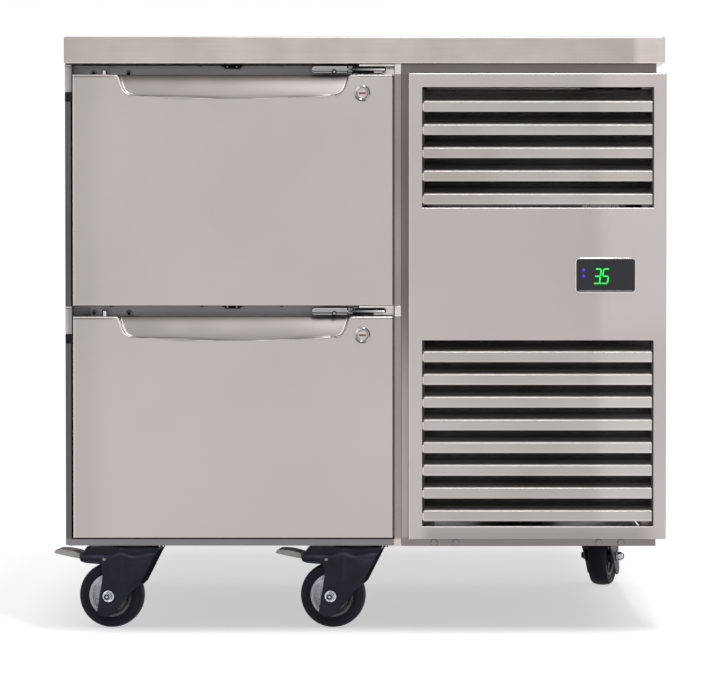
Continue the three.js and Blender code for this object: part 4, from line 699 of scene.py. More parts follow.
# ---------------------------------------------------------------- gaps above the drawers
# Heights are measured from the drawer's top edge; the gap over it is 15.7 high.
def catch_plate():
    """Front plate of the catch: a ring of (y, z) with a lower lip, a groove and a swelling face under a rolled
    upper edge, carried along X. At the left it is drawn in by sqrt(1 - (1-t)^2) over 7.5 to a round end."""
    ring = np.array([
        (-331.0, 2.2), (-335.2, 2.2), (-335.7, 2.7), (-335.8, 4.2), (-335.5, 4.9), (-334.9, 5.2), (-335.6, 5.6),
        (-336.4, 7.4), (-336.8, 9.6), (-336.6, 11.4), (-335.9, 12.8), (-334.9, 13.5), (-333.6, 13.7),
        (-331.0, 13.7),
    ])
    middle, t = (ring.max(0) + ring.min(0)) / 2, np.linspace(0.02, 1, 9)
    stations = [*zip(-80.2 + 7.5 * t, np.sqrt(1 - (1 - t) ** 2)), (-26.3, 1.0)]
    rows = [along("x", (middle + (ring - middle) * scale).T, x) for x, scale in stations]
    return np.concatenate(rows), closed_tube(len(rows), len(ring))


def plate_tone(x, y, z):
    """Painted reflection on the plate: bright towards the rolled upper edge, with two paler painted lines below it."""
    return 0.30 + 0.55 * smooth_step((z - 8.0) / 3.5) + 0.22 * bump_at(z, 3.6, 0.9) + 0.14 * bump_at(z, 7.0, 0.8)


def catch_shelf():
    """Level plate of the catch round the slot for the lock's cam, and the leg that is screwed to the header."""
    whole, slot = (-76.3, 26.7), (-326.2, -320.2)
    strips = [(whole, (-335.0, slot[0])), (whole, (slot[1], -293.1)), ((-76.3, -19.8), slot), ((2.7, 26.7), slot)]
    leg = block((-26.3, 20.7), (2.2, 13.7), 1.5, (-295.0, -293.1), "y")
    return joined(*[block(across, back, 0, (6.2, 9.2), "z") for across, back in strips], leg)


def arm_tone(x, y, z):
    """Painted reflection on the arm: dark on the left, bright from X = -9.5 to the right."""
    return 0.12 + 0.83 * smooth_step((x + 9.5) / 2.0)


def catch_stop(span):
    """Small moulded block under the catch's arm."""
    return stacked([(0.8, -334.8), (0.2, -334.5), (0, -334.0), (0, -329.0)], span, (2.2, 5.9), 0.9, "y", 3)


def strip_tone(x, y, z):
    """Painted shade: dimmer to the right of X = -442.6."""
    return 1 - 0.45 * smooth_step((x + 442.6) / 1.2)


def gap_pieces(screw_y):
    """All that is fixed over a drawer, as (name, shape, finish, slot, more), with its screws at this depth."""
    boss = [(0, -337.9), (0.9, -337.8), (1.7, -337.4), (2.2, -336.8), (2.4, -336.0), (2.4, -334.5), (0, -334.5)]
    well = [(0, -337.0), (3.1, -337.0), (3.6, -336.5), (3.6, -334.6), (0, -334.6)]
    knuckle = [
        (0, 3.4), (4.1, 3.4), (5.0, 4.2), (5.0, 7.4), (4.3, 7.9), (4.3, 8.3), (5.0, 8.8), (5.0, 12.4),
        (4.2, 13.2), (0, 13.2),
    ]
    arm = [(2.2, 5.6), (0.7, 6.0), (0.1, 6.9), (0, 7.8), (0.4, 8.9), (1.3, 9.8), (2.6, 10.2)]
    cap = [(1.2, 10.0), (0.2, 10.3), (0, 11.0), (0.6, 11.9), (2.0, 12.4)]
    switch = joined(
        stacked([(1.0, -305.2), (0.3, -304.9), (0, -304.3), (0, -293.2)], (-212, -188), (10.8, 15.7), 0.9, "y", 3),
        block((-216.5, -211), (13.4, 15.7), 0.5, (-302.0, -293.2), "y"),
    )
    switch_screw = [(0, -305.5), (0.9, -305.4), (1.25, -305.0), (1.25, -304.6), (0, -304.6)]
    wire = [(0, -188.2), (0.9, -188.2), (0.9, -184.6), (0.5, -184.2), (0, -184.2)]
    plug = [(0, -296.3), (2.0, -296.1), (3.9, -295.3), (4.9, -294.0), (4.9, -292.5), (0, -292.5)]
    gap_screw = [(0, 13.1), (1.6, 13.4), (2.9, 14.5), (3.2, 15.9), (0, 15.9)]
    strip = [(0.7, -341.4), (0.15, -341.2), (0, -340.7), (0, -339.8)]
    bead = [(0, -448.6), (1.2, -448.6), (1.5, -448.2), (1.5, -439.8), (1.2, -439.4), (0, -439.4)]
    buffer = [(0.8, -341.5), (0.2, -341.3), (0, -340.7), (0, -339.8)]
    gap_end = joined(
        block((-8.0, 44.9), (12.7, 15.7), 0.5, (-330.8, -330.0), "y"),
        block((-4.0, 44.9), (0.3, 15.5), 0.8, (-293.3, -292.2), "y"),
        block((45.4, 54.8), (0.3, 15.5), 0.8, (-340.7, -339.9), "y"),
    )
    return [
        ("catch_plate", catch_plate(), bright_chrome, "chrome", {"sharp": 50, "tone": plate_tone}),
        ("catch_shelf", catch_shelf(), zinc, "chrome", {"bevel": 0.3}),
        ("catch_boss", turned(boss, (-45.6, 0, 4.4), sides=40), brass, "chrome", {"sharp": 50}),
        # The black well is painted shade: a dark disc for the cutout round the brass boss.
        ("catch_well", turned(well, (-45.6, 0, 4.6), sides=40), black_nylon, "chrome", {}),
        # The knuckle's tone of 0.34 paints a dark reflection on its chrome.
        ("catch_knuckle", turned(knuckle, (-21.3, -332, 0), "z", 40), bright_chrome, "chrome",
            {"sharp": 40, "tone": 0.34}),
        ("catch_arm", stacked(arm, (-21.3, 32.7), (-339, -327), 5.9, "z", 8), bright_chrome, "chrome",
            {"sharp": 60, "tone": arm_tone}),
        ("catch_cap", stacked(cap, (-15.0, 30.5), (-338.4, -328.4), 4.6, "z", 6), black_nylon, "chrome",
            {"sharp": 60}),
        ("catch_stop_dark", catch_stop((-19.3, 13.6)), black_nylon, "chrome", {}),
        ("catch_stop_pale", catch_stop((14.0, 27.0)), case_steel, "chrome", {}),
        ("switch_body", switch, black_nylon, "black_plastic", {}),
        ("switch_screws", copies(switch_screw, [(x, 0, 13.4) for x in (-207.5, -193.5)], sides=16), zinc,
            "black_plastic", {}),
        ("switch_wire", turned(wire, (0, -301, 14.3), "x", 12), red_nylon, "black_plastic", {}),
        ("frame_plugs", copies(plug, [(x, 0, 3.7) for x in (-410.4, -357.4)]), grey_nylon, "frame_steel", {}),
        ("gap_screws", copies(gap_screw, [(x, screw_y, 0) for x in (-384, -247, -126)], "z", 20), grey_nylon,
            "frame_steel", {}),
        ("stile_strip", stacked(strip, (-448.9, -438.9), (-26.2, 11.6), 0.8, "y", 3), plate_steel, "stainless",
            {"tone": strip_tone}),
        ("stile_bead", turned(bead, (0, -340.4, 13.5), "x", 20), plate_steel, "stainless", {}),
        ("stile_buffer", stacked(buffer, (-449.0, -438.6), (-40.7, -26.5), 1.0, "y", 3), black_nylon,
            "black_plastic", {}),
        ("gap_end", gap_end, pale_plate, "stainless", {"bevel": 0.2}),
    ]


gap_nodes = {"catch_plate": "lock_catch", "switch_body": "door_switch"}
gap_screw_y = {"upper": -316, "lower": -296.4}
for place, screw_y in gap_screw_y.items():
    for name, shape, coat, slot, more in gap_pieces(screw_y):
        replaces = (f"{gap_nodes[name]}_{place}",) if name in gap_nodes else ()
        piece(f"{name}_{place}", shape, coat, slot=slot, replaces=replaces, at=(0, 0, drawers[place][1]), **more)

# ---------------------------------------------------------------- bay cover and louvres
cover_x, cover_z, cover_face, cover_back, cover_fold = (66.0, 452.2), (146.6, 846.0), -347.5, -340.5, 2.0
open_x, upper_open, lower_open = (86.8, 432.8), (644.8, 824.5), (166.6, 445.2)


def cover():
    """Pressed sheet with eased edges: it falls back in a quarter round at its rim and at both openings, then
    runs back in flanges."""
    x = distinct(
        near(cover_x[0], 1, 3), near(open_x[0], -1, 3), near(open_x[1], 1, 3), near(cover_x[1], -1, 3),
        np.linspace(*open_x, 34),
    )
    crowded = [[near(low, -1, 3), near(high, 1, 3)] for low, high in (upper_open, lower_open)]
    z = distinct(
        near(cover_z[0], 1, 3), near(cover_z[1], -1, 3), np.linspace(cover_z[0] + 8, cover_z[1] - 8, 50),
        *crowded[0], *crowded[1],
    )
    grid = np.meshgrid(x, z)
    middles = np.meshgrid((x[1:] + x[:-1]) / 2, (z[1:] + z[:-1]) / 2)
    distance, hole = depth_in(*grid, cover_x, cover_z), False
    for opening in (upper_open, lower_open):
        distance = np.minimum(distance, -depth_in(*grid, open_x, opening))
        hole = hole | (depth_in(*middles, open_x, opening) > 0)
    return pressed(x, z, cover_face + edge_fall(np.maximum(distance, 0), cover_fold), cover_back, hole)


def cover_tone(x, y, z):
    """Painted light and shade: a painted highlight on the left fold, painted shade on the right fold, the top fold
    and the sills of the openings; across the sheet a slow painted fall to the right, then a lighter painted
    reflection with a soft edge that fades below the display; and a dimmer strip under the lower opening."""
    shade = 1 + 0.32 * smooth_step((cover_x[0] + 2.2 - x) / 1.0)
    shade = shade * (1 - 0.35 * smooth_step((x - cover_x[1] + 1.0) / 0.8))
    shade = shade * (1 - 0.42 * smooth_step((z - cover_z[1] + 0.9) / 0.6))
    sill = np.maximum(bump_at(z, upper_open[0] - 0.3, 0.8), bump_at(z, lower_open[0] - 0.3, 0.8))
    shade = shade * (1 - 0.45 * sill * (x > 86) * (x < 433.5))
    reflection = (0.05 + 0.12 * smooth_step((z - 425) / 60)) * smooth_step((x - 338) / 30)
    across = 1 - 0.09 * np.clip((x - 75) / 270, 0, 1) + reflection
    under = smooth_step((166 - z) / 4) * smooth_step((x - 78) / 22) * smooth_step((446 - x) / 40)
    return shade * across * (1 - 0.30 * under)


def bar_tone(x, y, z):
    """Painted light: dimmer on the left, with a painted highlight from X = 292 to the right."""
    return 0.55 + 0.9 * smooth_step((x - 292) / 24)


piece("cover_sheet", cover(), front_steel, sharp=40, replaces=("cover_panel",), thick=0.9, tone=cover_tone)
# The mullion bead's tone of 0.5 paints the shade of the gap beside the drawers.
mullion_bead = block((43.3, 45.1), (-335.5, -331.0), 0.4, (149.0, 843.0), "z")
piece("mullion_bead", mullion_bead, front_steel, sharp=40, tone=0.5)
fin_pitch, fin_thick = 2.8, 1.1
fin_starts = np.arange(331.0, 385.0, fin_pitch)
fin_edges = [block((x, x + fin_thick), (-281.2, -279.4), 0.3, (572.0, 812.0), "z", 2) for x in fin_starts]
piece("fin_edges", joined(*fin_edges), pale_plate, slot="fins", sharp=40)
top_bar = block((-300.0, -292.0), (823.0, 829.0), 0.8, (93.0, 326.0), "x")
piece("condenser_top_bar", top_bar, slat_steel, sharp=40, tone=bar_tone)

slat_x, slat_front = (88.6, 431.0), -346.7


def slat(lip_top):
    """One louvre slat: a lip 14.7 high with a round hem, folded back to a blade that rises 20 inwards."""
    blade = [(deep, deep * 0.995) for deep in (15, 10, 6, 3, 1.6)]
    section = [
        (0, -14.7), (2.8, -14.7), (2.8, -12.6), (1.2, -12.9), (1.2, -0.4), (19.9, 18.4), (19.9, 19.8), *blade,
        (0, 0),
    ]
    outline = rounded(section, (0.9, 0.9, 0.4, 0.3, 1.5, *[0.2] * 7, 0.9))
    hem = [(0, -11.0), (0, -11.9)]
    return prism(np.concatenate([outline, hem]) + (slat_front, lip_top), slat_x, "x")


def slat_tone(tops):
    """Painted light and shade on the slats: a painted highlight on the hem over a dim lower edge, painted shade on
    the fold, and a blade in painted shade, dark just behind the lip, that brightens to its inner edge."""

    def tone(x, y, z):
        lip, back = np.asarray(tops), y - slat_front
        below = lip[np.abs(z[:, None] - lip + 7.3 - back[:, None] * 0.95).argmin(1)] - z
        blade = np.clip((back - 1.3) / 18.0, 0, 1)
        share = 1 + 0.10 * smooth_step((below - 11.4) / 0.6) - 0.25 * smooth_step((below - 14.2) / 0.5)
        share = share - 0.42 * smooth_step((0.7 - below) / 0.5)
        deep = np.minimum(0.080 + 4.8 * blade**3, 3.0)
        return share * (1 + smooth_step(blade * 18) * (deep - 1))

    return tone


def end_bracket(side, stretch):
    """End bracket of a louvre: an upright plate across the slat ends and a flange behind the cover."""
    edge, thick, reach = slat_x[0] if side < 0 else slat_x[1], side * 1.2, side * 11.5
    plate = block(sorted((edge, edge - thick)), (-345.9, -327.0), 0, stretch, "z")
    return joined(plate, block(sorted((edge - thick, edge + reach)), (-342.7, -341.6), 0, stretch, "z"))


louvres = {
    "upper": (upper_open, [upper_open[1] - 179.7 * (0.122 + 0.193 * i) for i in range(5)]),
    "lower": (lower_open, [lower_open[1] - 278.6 * (0.0639 + 0.1225 * i) for i in range(8)]),
}
for place, ((low, high), tops) in louvres.items():
    slats = joined(*[slat(level) for level in tops])
    piece(f"louvre_slats_{place}", slats, slat_steel, sharp=28, replaces=(f"louvre_{place}",), tone=slat_tone(tops))
    # The end brackets' tone of 0.10 paints the shade at the sides of each opening.
    ends = joined(*[end_bracket(side, (low + 1.8, high - 1.8)) for side in (-1, 1)])
    piece(f"louvre_ends_{place}", ends, slat_steel, sharp=28, tone=0.10)
    tabs = [block((86.95, 88.55), (level - 12.6, level - 2.0), 0.5, (-346.4, -343.0), "y") for level in tops]
    piece(f"louvre_tabs_{place}", joined(*tabs), pale_plate)

# ---------------------------------------------------------------- controller
screen_x, screen_z = (317.3, 405.3), (518.4, 567.8)


def figure(segments, left, low, wide=8.6, high=21.6, stroke=1.9, slant=0.14):
    """A seven-segment figure: each lit segment is a six-sided bar, leaning by slant times its height."""
    bars, middle, half, gap = [], high / 2, stroke / 2, 0.35
    places = {
        "a": ((0, high), (wide, high)), "g": ((0, middle), (wide, middle)), "d": ((0, 0), (wide, 0)),
        "b": ((wide, middle), (wide, high)), "c": ((wide, 0), (wide, middle)),
        "f": ((0, middle), (0, high)), "e": ((0, 0), (0, middle)),
    }
    for name in segments:
        start, end = np.array(places[name], float)
        run = (end - start) / np.linalg.norm(end - start)
        side, taper = np.array([-run[1], run[0]]) * half, run * half
        start, end = start + run * gap, end - run * gap
        outline = np.array([
            start, start + taper + side, end - taper + side, end, end - taper - side, start + taper - side,
        ])
        outline[:, 0] += outline[:, 1] * slant
        bars.append(prism(outline + (left, low), (-349.72, -349.3), "y"))
    return joined(*bars)


def bezel_tone(x, y, z):
    """Paler along the rim, where the moulding catches the light."""
    rim = depth_in(x, z, screen_x, screen_z)
    return 1 + 2.0 * smooth_step((1.7 - rim) / 0.8) * (y < -348.2)


trim = [(-1.5, -346.9), (-1.5, -347.8), (-1.2, -348.0), (-0.1, -348.0), (-0.1, -346.9)]
piece("controller_trim", stacked(trim, screen_x, screen_z, 6.5, "y", 6), pale_plate, slot="display")
# A rounded plate with a thin raised rim round a slightly sunk window.
bezel = [
    (4, -292), (4, -347.8), (0, -347.8), (0, -349.0), (0.3, -349.5), (0.9, -349.7), (1.5, -349.6), (1.9, -349.35),
]
piece(
    "controller_bezel", stacked(bezel, screen_x, screen_z, 5.0, "y", 6), dark_glass, slot="display", sharp=30,
    replaces=("controller",), tone=bezel_tone,
)
dot = turned([(0, -349.72), (1.3, -349.72), (1.3, -349.3), (0, -349.3)], (353.4, 0, 531.2), sides=16)
lit = joined(figure("abgcd", 343.0, 531.0), figure("afgcd", 355.2, 531.0), dot)
piece("lit_figures", lit, green_glow, slot="display")
lamp = [(0, -349.95), (1.6, -349.8), (2.2, -349.4), (0, -349.2)]
lamps = copies(lamp, [(328.2, 0, z) for z in (551.2, 541.9)], sides=20)
piece("blue_lamps", lamps, blue_glow, slot="display")

# ---------------------------------------------------------------- base rail screws
rail_screws, rail_middle = {104.5: False, 136.9: True, 352.2: True, 385.2: False}, 141.3


def screw_head(crossed):
    """Pan head of a screw; a crossed one has four short slots sunk into it."""
    rows, sides, reach, rise = np.linspace(0, np.pi / 2, 15)[:, None], 48, 5.2, 2.2
    turn = np.linspace(0, 2 * np.pi, sides, endpoint=False)
    radius = reach * np.sin(rows) + 0 * turn
    crown = -342.2 + rise * (1 - np.cos(rows)) ** 0.9
    a, b = np.abs(radius * np.cos(turn + 0.35)), np.abs(radius * np.sin(turn + 0.35))
    arm, end = np.minimum(a, b), np.maximum(a, b)
    sunk = 1.3 * smooth_step((1.0 - arm) / 0.6) * smooth_step((3.3 - end) / 0.8) if crossed else 0
    points = along("y", (radius * np.cos(turn), radius * np.sin(turn)), crown + sunk)
    return points, cells(len(rows), sides, wrap=True)


for number, (x, crossed) in enumerate(rail_screws.items(), 1):
    coat = bright_zinc if crossed else grey_nylon
    piece(f"rail_screw_{number}", screw_head(crossed), coat, sharp=40, at=(x, 0, rail_middle))

# ---------------------------------------------------------------- castors
# Drawn with the swivel axis at X = Y = 0 and the wheel behind it at +X; then turned and put in place.
castors = {
    "front_left": (-350.5, -240.0, 171.0), "front_middle": (-10.5, -240.0, 171.0),
    "rear_left": (-405.0, 262.0, 102.0), "rear_right": (391.7, 262.0, 73.0),
}
hub, hinge = (39.0, 0.0, 50.0), (45.7, 0, 107)
leg_inner, leg_outer, leg_low, leg_high = 23.0, 25.5, 17.7, 125.9


def tyre():
    """Solid tyre: a gently crowned tread, round shoulders and side walls with two moulded rings."""
    t = np.linspace(-np.pi / 2, np.pi / 2, 13)
    shoulder = np.stack([43.5 + 6.5 * np.maximum(np.cos(t), 0) ** 0.7, 16.0 * np.sin(t)], -1)
    side = np.array([
        (33.5, 13.0), (34.3, 14.2), (35.6, 14.5), (36.0, 14.1), (36.5, 14.7), (38.6, 15.3), (39.0, 14.9),
        (39.5, 15.5), (41.6, 15.9),
    ])
    return turned(np.concatenate([side * (1, -1), shoulder, side[::-1], side[:1] * (1, -1)]), hub, sides=112)


def wheel_centre():
    """Moulded centre: a boss, a dished web with a ring, and a rim on each side."""
    half = np.array([
        (6.3, 22.6), (9.4, 22.6), (10.2, 21.8), (11.0, 11.2), (12.4, 9.6), (17.6, 8.2), (18.2, 9.4), (19.4, 9.4),
        (20.0, 8.0), (25.8, 7.0), (27.4, 8.0), (28.2, 12.3), (29.4, 13.0), (33.2, 13.0),
    ])
    return turned(np.concatenate([half * (1, -1), half[::-1], half[:1] * (1, -1)]), hub, sides=80)


def wheel_ribs():
    """Five curved ribs on each side of the web: the angle grows by 0.55 rad from the boss to the rim, and each
    is 1.8 thick."""
    share = np.linspace(0, 1, 9)
    radius, ribs = 10.6 + 17.0 * share, []
    for start in np.arange(5) * 2 * np.pi / 5 + 0.5:
        turn, ahead = start + 0.55 * share, 0.9 / radius
        for side in (-1, 1):
            low, high = side * 7.0, side * (11.6 - 2.2 * share)
            ring = [
                np.stack([radius * np.cos(turn + across), level + 0 * radius, radius * np.sin(turn + across)], -1)
                for across, level in ((-ahead, low), (-ahead, high), (ahead, high), (ahead, low))
            ]
            ribs.append((np.stack(ring, 1).reshape(-1, 3) + hub, closed_tube(len(share), len(ring))))
    return joined(*ribs)


def leg_edges(z):
    """Front and rear reach of a fork leg at a height: two broken lines that meet in a round tip."""
    lead = [(43.0, leg_low), (37.0, 19.6), (31.0, 23.1), (15.0, 42.8), (5.0, 55.1), (-11.4, 70.7), (-39.5, leg_high)]
    rear = [
        (43.0, leg_low), (51.0, 19.4), (56.6, 23.1), (57.4, 26.0), (48.5, 79.8), (49.2, 96.4), (53.5, 98.9),
        (76.0, 100.4), (82.6, 102.8), (85.0, 107.4), (79.4, 116.7), (72.6, leg_high),
    ]
    return [np.interp(z, *reversed(np.array(line).T))[:, None] for line in (lead, rear)]


def fold_height(x):
    """Height of a leg's wandering fold: 112, with a peak of 5.5 at X = 19 and a rise by 5 ahead of the axis."""
    return 112.0 + 5.5 * bump_at(x, 19, 9) + 5.0 * smooth_step(-x / 30)


def leg_relief(x, z, edge):
    """Form of a leg's outer face, outwards from its plane: a skirt 1.5 proud above a wandering fold with a
    raised line along it, a faint crease below the fold's peak, a lip along the brake housing, a shallow dish
    and rounded edges."""
    fold = fold_height(x)
    skirt = 1.5 * smooth_step((z - fold + 3) / 5) + 1.0 * bump_at(z, fold, 2.2)
    crease = 0.7 * bump_at(x, 17.5 + (z - 112) * 0.05, 4.0) * smooth_step((z - 82) / 18)
    lip = 1.1 * bump_at(z, 103.2, 1.7) * smooth_step((x - 50) / 8)
    dish = -0.6 * bump_at(x, 30, 16) * bump_at(z, 62, 22)
    return skirt + crease * smooth_step((fold - z) / 6) + lip + dish - edge_fall(edge, 1.6)


def leg(side):
    """Fork leg: rows from its tip to its top, each a ring across its outer face and back along its inner one."""
    tip = leg_low + 8 * np.linspace(0, 1, 14) ** 2
    z = np.unique(
        np.concatenate([tip, np.linspace(26, 96, 40), np.linspace(96.4, 105, 22), np.linspace(105.5, leg_high, 26)])
    )
    share = np.concatenate([[0, 0.01, 0.025, 0.05], np.linspace(0.09, 0.91, 22), [0.95, 0.975, 0.99, 1]])
    lead, rear = leg_edges(z)
    x = lead + (rear - lead) * share
    high = z[:, None] + 0 * x
    edge = np.minimum(np.minimum(x - lead, rear - x), high - leg_low)
    outer = np.stack([x, side * (leg_outer + leg_relief(x, high, edge)), high], -1)
    inner = np.stack([x, side * leg_inner + 0 * x, high], -1)[:, ::-1]
    ring = np.concatenate([outer, inner], 1)
    return ring.reshape(-1, 3), closed_tube(*ring.shape[:2])


def fork():
    """Fork: two legs, the crown plate with its bent rear lip, the lower ball race and the axle's sleeve."""
    lip = [(70.5, leg_high), (77.6, 116.2), (83.4, 107.0), (85.2, 107.6), (79.4, 116.9), (72.6, leg_high)]
    crown = block((-39.5, 72.0), (-24.5, 24.5), 2.0, (123.2, leg_high), "z")
    race = [
        (9, 120.9), (33.0, 120.9), (35.4, 122.2), (36.0, 124.4), (35.2, 127.0), (33.6, 127.8), (9, 127.8), (9, 120.9),
    ]
    sleeve = turned([(0, -24.8), (6, -24.8), (6, 24.8), (0, 24.8)], hub, sides=24)
    return joined(leg(-1), leg(1), prism(lip, (-23.5, 23.5), "y"), crown, turned(race, axis="z", sides=48), sleeve)


def fork_web():
    """Sheet between the legs' front edges, from the crown down to where the edges turn in."""
    return prism([(-39.4, 125.8), (-11.6, 71.0), (-9.4, 72.2), (-36.8, 125.8)], (-25.3, 25.3), "y")


def both_sides(shape):
    """The shape and its mirror image on the other side of Y = 0."""
    points, faces = shape
    return joined((points * (1, -1, 1), faces), shape)


def axle_nut():
    """Washer, hexagon with turned corners and a hollow collar round the bolt's end."""
    washer = [(0, 25.2), (8.7, 25.2), (9.0, 25.6), (9.0, 26.6), (8.6, 27.0), (0, 27.0)]
    turn = np.arange(24) * np.pi / 12
    flat = 6.5 / np.cos((turn + np.pi / 6) % (np.pi / 3) - np.pi / 6)
    rows = []
    for level, reach in ((26.9, 7.5), (32.4, 7.5), (33.6, 6.5)):
        radius = np.minimum(flat, reach)
        rows.append(along("y", (radius * np.cos(turn), radius * np.sin(turn)), level))
    hexagon = np.concatenate(rows) + hub, closed_tube(len(rows), len(turn))
    collar = [(5.6, 33.4), (5.5, 35.6), (4.9, 36.8), (4.1, 36.6), (3.7, 35.4), (3.6, 34.0), (2.6, 35.3), (0, 35.8)]
    return joined(turned(washer, hub, sides=40), hexagon, turned(collar, hub, sides=32))


def plate_bolts(places):
    """Hexagon heads with washers under the top plate."""
    washer = [(0, 133.2), (7.4, 133.2), (7.6, 132.6), (7.4, 132.0), (0, 132.0)]
    head = [(0, 132.1), (6.2, 132.1), (6.2, 128.3), (5.5, 127.5), (0, 127.4)]
    return joined(copies(washer, places, "z", 28), copies(head, places, "z", 6))


def pedal():
    """Brake pedal: an arm on the hinge and a pad between two quadratic curves, with ribs across its upper
    face."""
    upper = [123.5, 119.2], [105.8, 121.0], [85.5, 114.0]
    t = np.linspace(0, 1, 15)[:, None]
    under = quadratic([85.5, 106.5], [105.8, 109.7], [126.0, 114.2], t)
    pad = prism(rounded(np.concatenate([under, quadratic(*upper, t)]), 0.6, 2), (-19.9, 19.9), "y")
    rib = [(0, -18.2), (0.65, -17.6), (0.65, 17.6), (0, 18.2)]
    places = [(x, 0, z - 0.1) for x, z in quadratic(*upper, np.linspace(0.06, 0.86, 12)[:, None])]
    arm = prism([(45.7, 107), (45.7, 109.5), (88, 113.0), (88, 107.8)], (-15.9, 15.9), "y")
    sleeve = [(4.1, -15.9), (5.9, -15.9), (5.9, 15.9), (4.1, 15.9), (4.1, -15.9)]
    return joined(pad, arm, turned(sleeve, hinge, sides=28), copies(rib, places, sides=10))


def fork_tone(x, y, z):
    """Painted highlights on the fork: a streak along its fold, soft pale spots below it, a faint line down the
    crease and a pale lip along the brake housing.
    """
    fold = fold_height(x)
    # A painted highlight along the fold, wavering in strength.
    sheen_and_wear = (1.5 + 0.8 * np.sin(x / 7.0)) * bump_at(z, fold - 1.0, 2.0) * smooth_step((x + 36) / 10)
    soft = 0.9 * bump_at(z, fold - 8.0, 6.0) * bump_at(x, -18, 12)
    crease = 0.35 * bump_at(x, 17, 3) * smooth_step((z - 60) / 30)
    return 1 + sheen_and_wear + soft + crease + 0.8 * bump_at(z, 103.0, 1.3) * smooth_step((x - 50) / 8)


def wheel_tone(far):
    """Painted light and shade on the wheel's centre: painted shade in front of the axle, where the leg hangs over
    it, deepest on the rim there; palest at its upper rear, a painted highlight; a little paler low down; and all of
    it in painted shade on a far castor."""

    def tone(x, y, z):
        behind = x - hub[0]
        ahead = 6 - behind
        rim = smooth_step((np.hypot(behind, z - hub[2]) - 25) / 2) * smooth_step(ahead / 4)
        shade = (1.12 - 0.95 * smooth_step(ahead / 10)) * (1 - 0.75 * rim)
        shade = shade + 0.5 * bump_at(behind, 20, 8) * smooth_step((z - 62) / 8) + 0.15 * smooth_step((38 - z) / 6)
        return shade * (0.15 if far else 1.0)

    return tone


def metal_tone(bright, hollow, far, yaw):
    """Nut or rivet: one tone, less a ring of painted shade in the hollow round the axle by the share hollow; on a far
    castor the ones on its left are dark."""
    turn, dark = math.radians(yaw), 0.04

    def tone(x, y, z):
        radius = np.hypot(x - hub[0], z - hub[2])
        share = bright * (1 - hollow * smooth_step((4.6 - radius) / 0.7) * smooth_step((radius - 1.2) / 0.8))
        right = x * math.cos(turn) - y * math.sin(turn) > 0
        return dark + (share - dark) * right if far else share

    return tone


rivet = [(0, 27.9), (1.6, 27.7), (3.0, 26.9), (3.8, 25.9), (3.9, 25.2), (0, 25.2)]
bolt_places = [(-40, -30, 0), (-40, 30, 0), (40, 30, 0), (40, -30, 0)]
for place, (x, y, yaw) in castors.items():
    far, wheel, swivel = y > 0, f"wheel_{place}", f"fork_{place}"
    nut_tone, rivet_tone = metal_tone(0.95, 0.93, far, yaw), metal_tone(0.30, 0, far, yaw)
    parts = [
        ("tyre_round", tyre(), tyre_rubber, wheel, "tyre", "tyre", 30, 1.0),
        ("wheel_web", wheel_centre(), hub_nylon, wheel, "wheel", "wheel_centre", 30, wheel_tone(far)),
        ("wheel_ribs", wheel_ribs(), hub_nylon, wheel, "wheel", None, 40, wheel_tone(far)),
        ("fork_form", fork(), fork_enamel, swivel, "fork_paint", "castor_fork", 50, fork_tone),
        ("fork_web", fork_web(), matt_enamel, swivel, "fork_paint", None, 40, 1.0),
        ("axle_nuts", both_sides(axle_nut()), bright_zinc, swivel, "fork_paint", None, 24, nut_tone),
        ("hinge_rivets", both_sides(turned(rivet, hinge, sides=32)), bright_zinc, swivel, "fork_paint", None, 40,
            rivet_tone),
    ]
    if not far:
        parts.append(("pedal_form", pedal(), pedal_nylon, f"pedal_{place}", "pedal", "brake_pedal", 40, 1.0))
    for name, shape, coat, body, slot, node, sharp, tone in parts:
        replaces = (f"{node}_{place}",) if node else ()
        piece(f"{name}_{place}", shape, coat, body, slot, sharp, replaces, tone=tone, at=(x, y, 0), yaw=yaw)
    bolts = {"plate_bolts": (bolt_places if far else bolt_places[:3], black_enamel)}
    if not far:
        bolts["bare_bolt"] = (bolt_places[3:], pale_plate)
    for name, (places, coat) in bolts.items():
        quarter = 90.0 if far else 0.0
        piece(f"{name}_{place}", plate_bolts(places), coat, slot="black_paint", sharp=30, at=(x, y, 0), yaw=quarter)

# ---------------------------------------------------------------- CAD nodes that keep their form
softened("bay_frame", bay_steel)
softened("face_frame", frame_steel)
for place in castors:
    softened(f"castor_plate_{place}", black_enamel)
runners = [f"{part}_{place}_{side}" for part in ("outer", "middle") for place in drawers for side in ("left", "right")]
painted(case_steel, "outer_case", "side_panel", "back_panel", "drawer_frame_upper", "drawer_frame_lower")
painted(frame_steel, "base_pan")
painted(foam, "insulation", "evaporator_box")
painted(liner, "inner_liner")
painted(seal, "gasket_upper", "gasket_lower")
painted(zinc, *[f"runner_{name}" for name in runners])
painted(black_nylon, "condenser_fan", "evaporator_fan")
painted(fins, "condenser", "evaporator_coil")
painted(black_enamel, "fan_shroud", "compressor")

# ---------------------------------------------------------------- floor, light and camera
white = (1, 1, 1, 1)


def seen_rays(tree):
    """1 for rays from the eye, in gloss and through glass, 0 for the rays that carry light."""
    ray = wired(tree, "LightPath").outputs
    shown = ray["Is Camera Ray"]
    for other in ("Is Glossy Ray", "Is Transmission Ray"):
        shown = wired(tree, "Math", {0: shown, 1: ray[other]}, operation="MAXIMUM").outputs["Value"]
    return shown


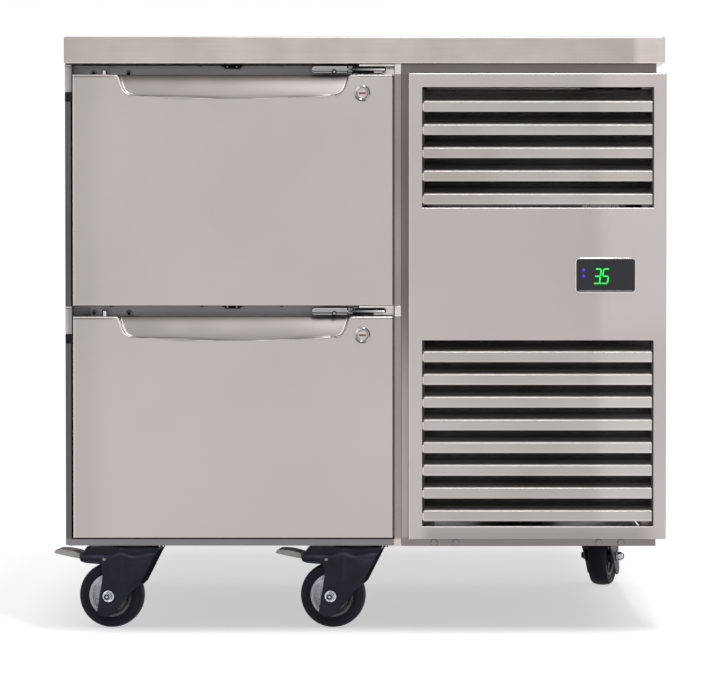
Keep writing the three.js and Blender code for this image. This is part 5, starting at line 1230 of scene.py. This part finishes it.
def floor(lift):
    """White paper floor that keeps the shadow, shown brighter to the eye than it lights: by lift under the
    fridge, by 0.80 beside it and by 0.86 far from it, whichever is more."""
    corners = np.array([(-20, -8, 0), (20, -8, 0), (20, 40, 0), (-20, 40, 0)], float)
    mesh = bpy.data.meshes.new("floor")
    mesh.from_pydata(corners.tolist(), [], [[0, 1, 2, 3]])
    made = bpy.data.objects.new("floor", mesh)
    bpy.context.scene.collection.objects.link(made)
    paper = finish("floor paper", (0.92,) * 3, (0.94,) * 3, (0.9, 1.0), 3.0, Specular_IOR_Level=0.0)
    tree = paper.node_tree
    surface = tree.nodes["Principled BSDF"]
    surface.inputs["Emission Color"].default_value = white
    place = wired(tree, "TexCoord").outputs["Object"]
    away = wired(tree, "VectorMath", {0: place}, operation="LENGTH")
    across = wired(tree, "Math", {0: wired(tree, "SeparateXYZ", {0: place}).outputs["X"]}, operation="ABSOLUTE")
    glows = [
        between(tree, source.outputs["Value"], start, end, lift, top, interpolation_type="SMOOTHSTEP")
        for source, start, end, top in ((away, 1.3, 3.2, 0.86), (across, 0.34, 0.56, 0.80))
    ]
    glow = wired(tree, "Math", enumerate(glows), operation="MAXIMUM").outputs["Value"]
    level = wired(tree, "Math", {0: seen_rays(tree), 1: glow}, operation="MULTIPLY")
    tree.links.new(level.outputs["Value"], surface.inputs["Emission Strength"])
    mesh.materials.append(paper)
    made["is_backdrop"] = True


def white_world(light):
    """World that shows white to the eye and in gloss and glass, and lights at its own level."""
    world = bpy.data.worlds.new("studio")
    bpy.context.scene.world = world
    world.use_nodes = True
    world.cycles.sampling_method = "NONE"
    tree = world.node_tree
    ground = tree.nodes["Background"]
    tree.links.new(between(tree, seen_rays(tree), 0, 1, light, 1), ground.inputs["Strength"])
    ground.inputs["Color"].default_value = white


def soft_box(name, place, aim, wide, long, power):
    """Rectangular soft light at a place in metres, turned towards its aim."""
    data = bpy.data.lights.new(name, "AREA")
    data.shape = "RECTANGLE"
    data.size, data.size_y = wide, long
    data.energy = power
    made = bpy.data.objects.new(name, data)
    made.location = place
    made.rotation_euler = (Vector(aim) - Vector(place)).to_track_quat("-Z", "Y").to_euler()
    bpy.context.scene.collection.objects.link(made)


floor(lift=0.55)
white_world(light=0.19)
soft_box("key", place=(0.42, -1.6, 3.1), aim=(0, 0, 0.3), wide=0.4, long=2.0, power=57)
bpy.context.scene.cycles.caustics_reflective = False

eye_x, eye_height, eye_distance, tilt_down = 40, 626, 4500, 1.25
view = bpy.data.cameras.new("view")
view.sensor_fit = "HORIZONTAL"
view.sensor_width = 36.0
view.lens = 149.0
view.shift_x, view.shift_y = -0.0396, -0.089
view.clip_end = 100.0
camera = bpy.data.objects.new("camera", view)
camera.location = (np.array([eye_x, drawer_face - eye_distance, eye_height]) + bench_middle) * metre
camera.rotation_euler = (math.radians(90 - tilt_down), 0, 0)
bpy.context.scene.collection.objects.link(camera)
bpy.context.scene.camera = camera
bpy.context.scene.view_settings.view_transform = "Standard"

low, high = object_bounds()
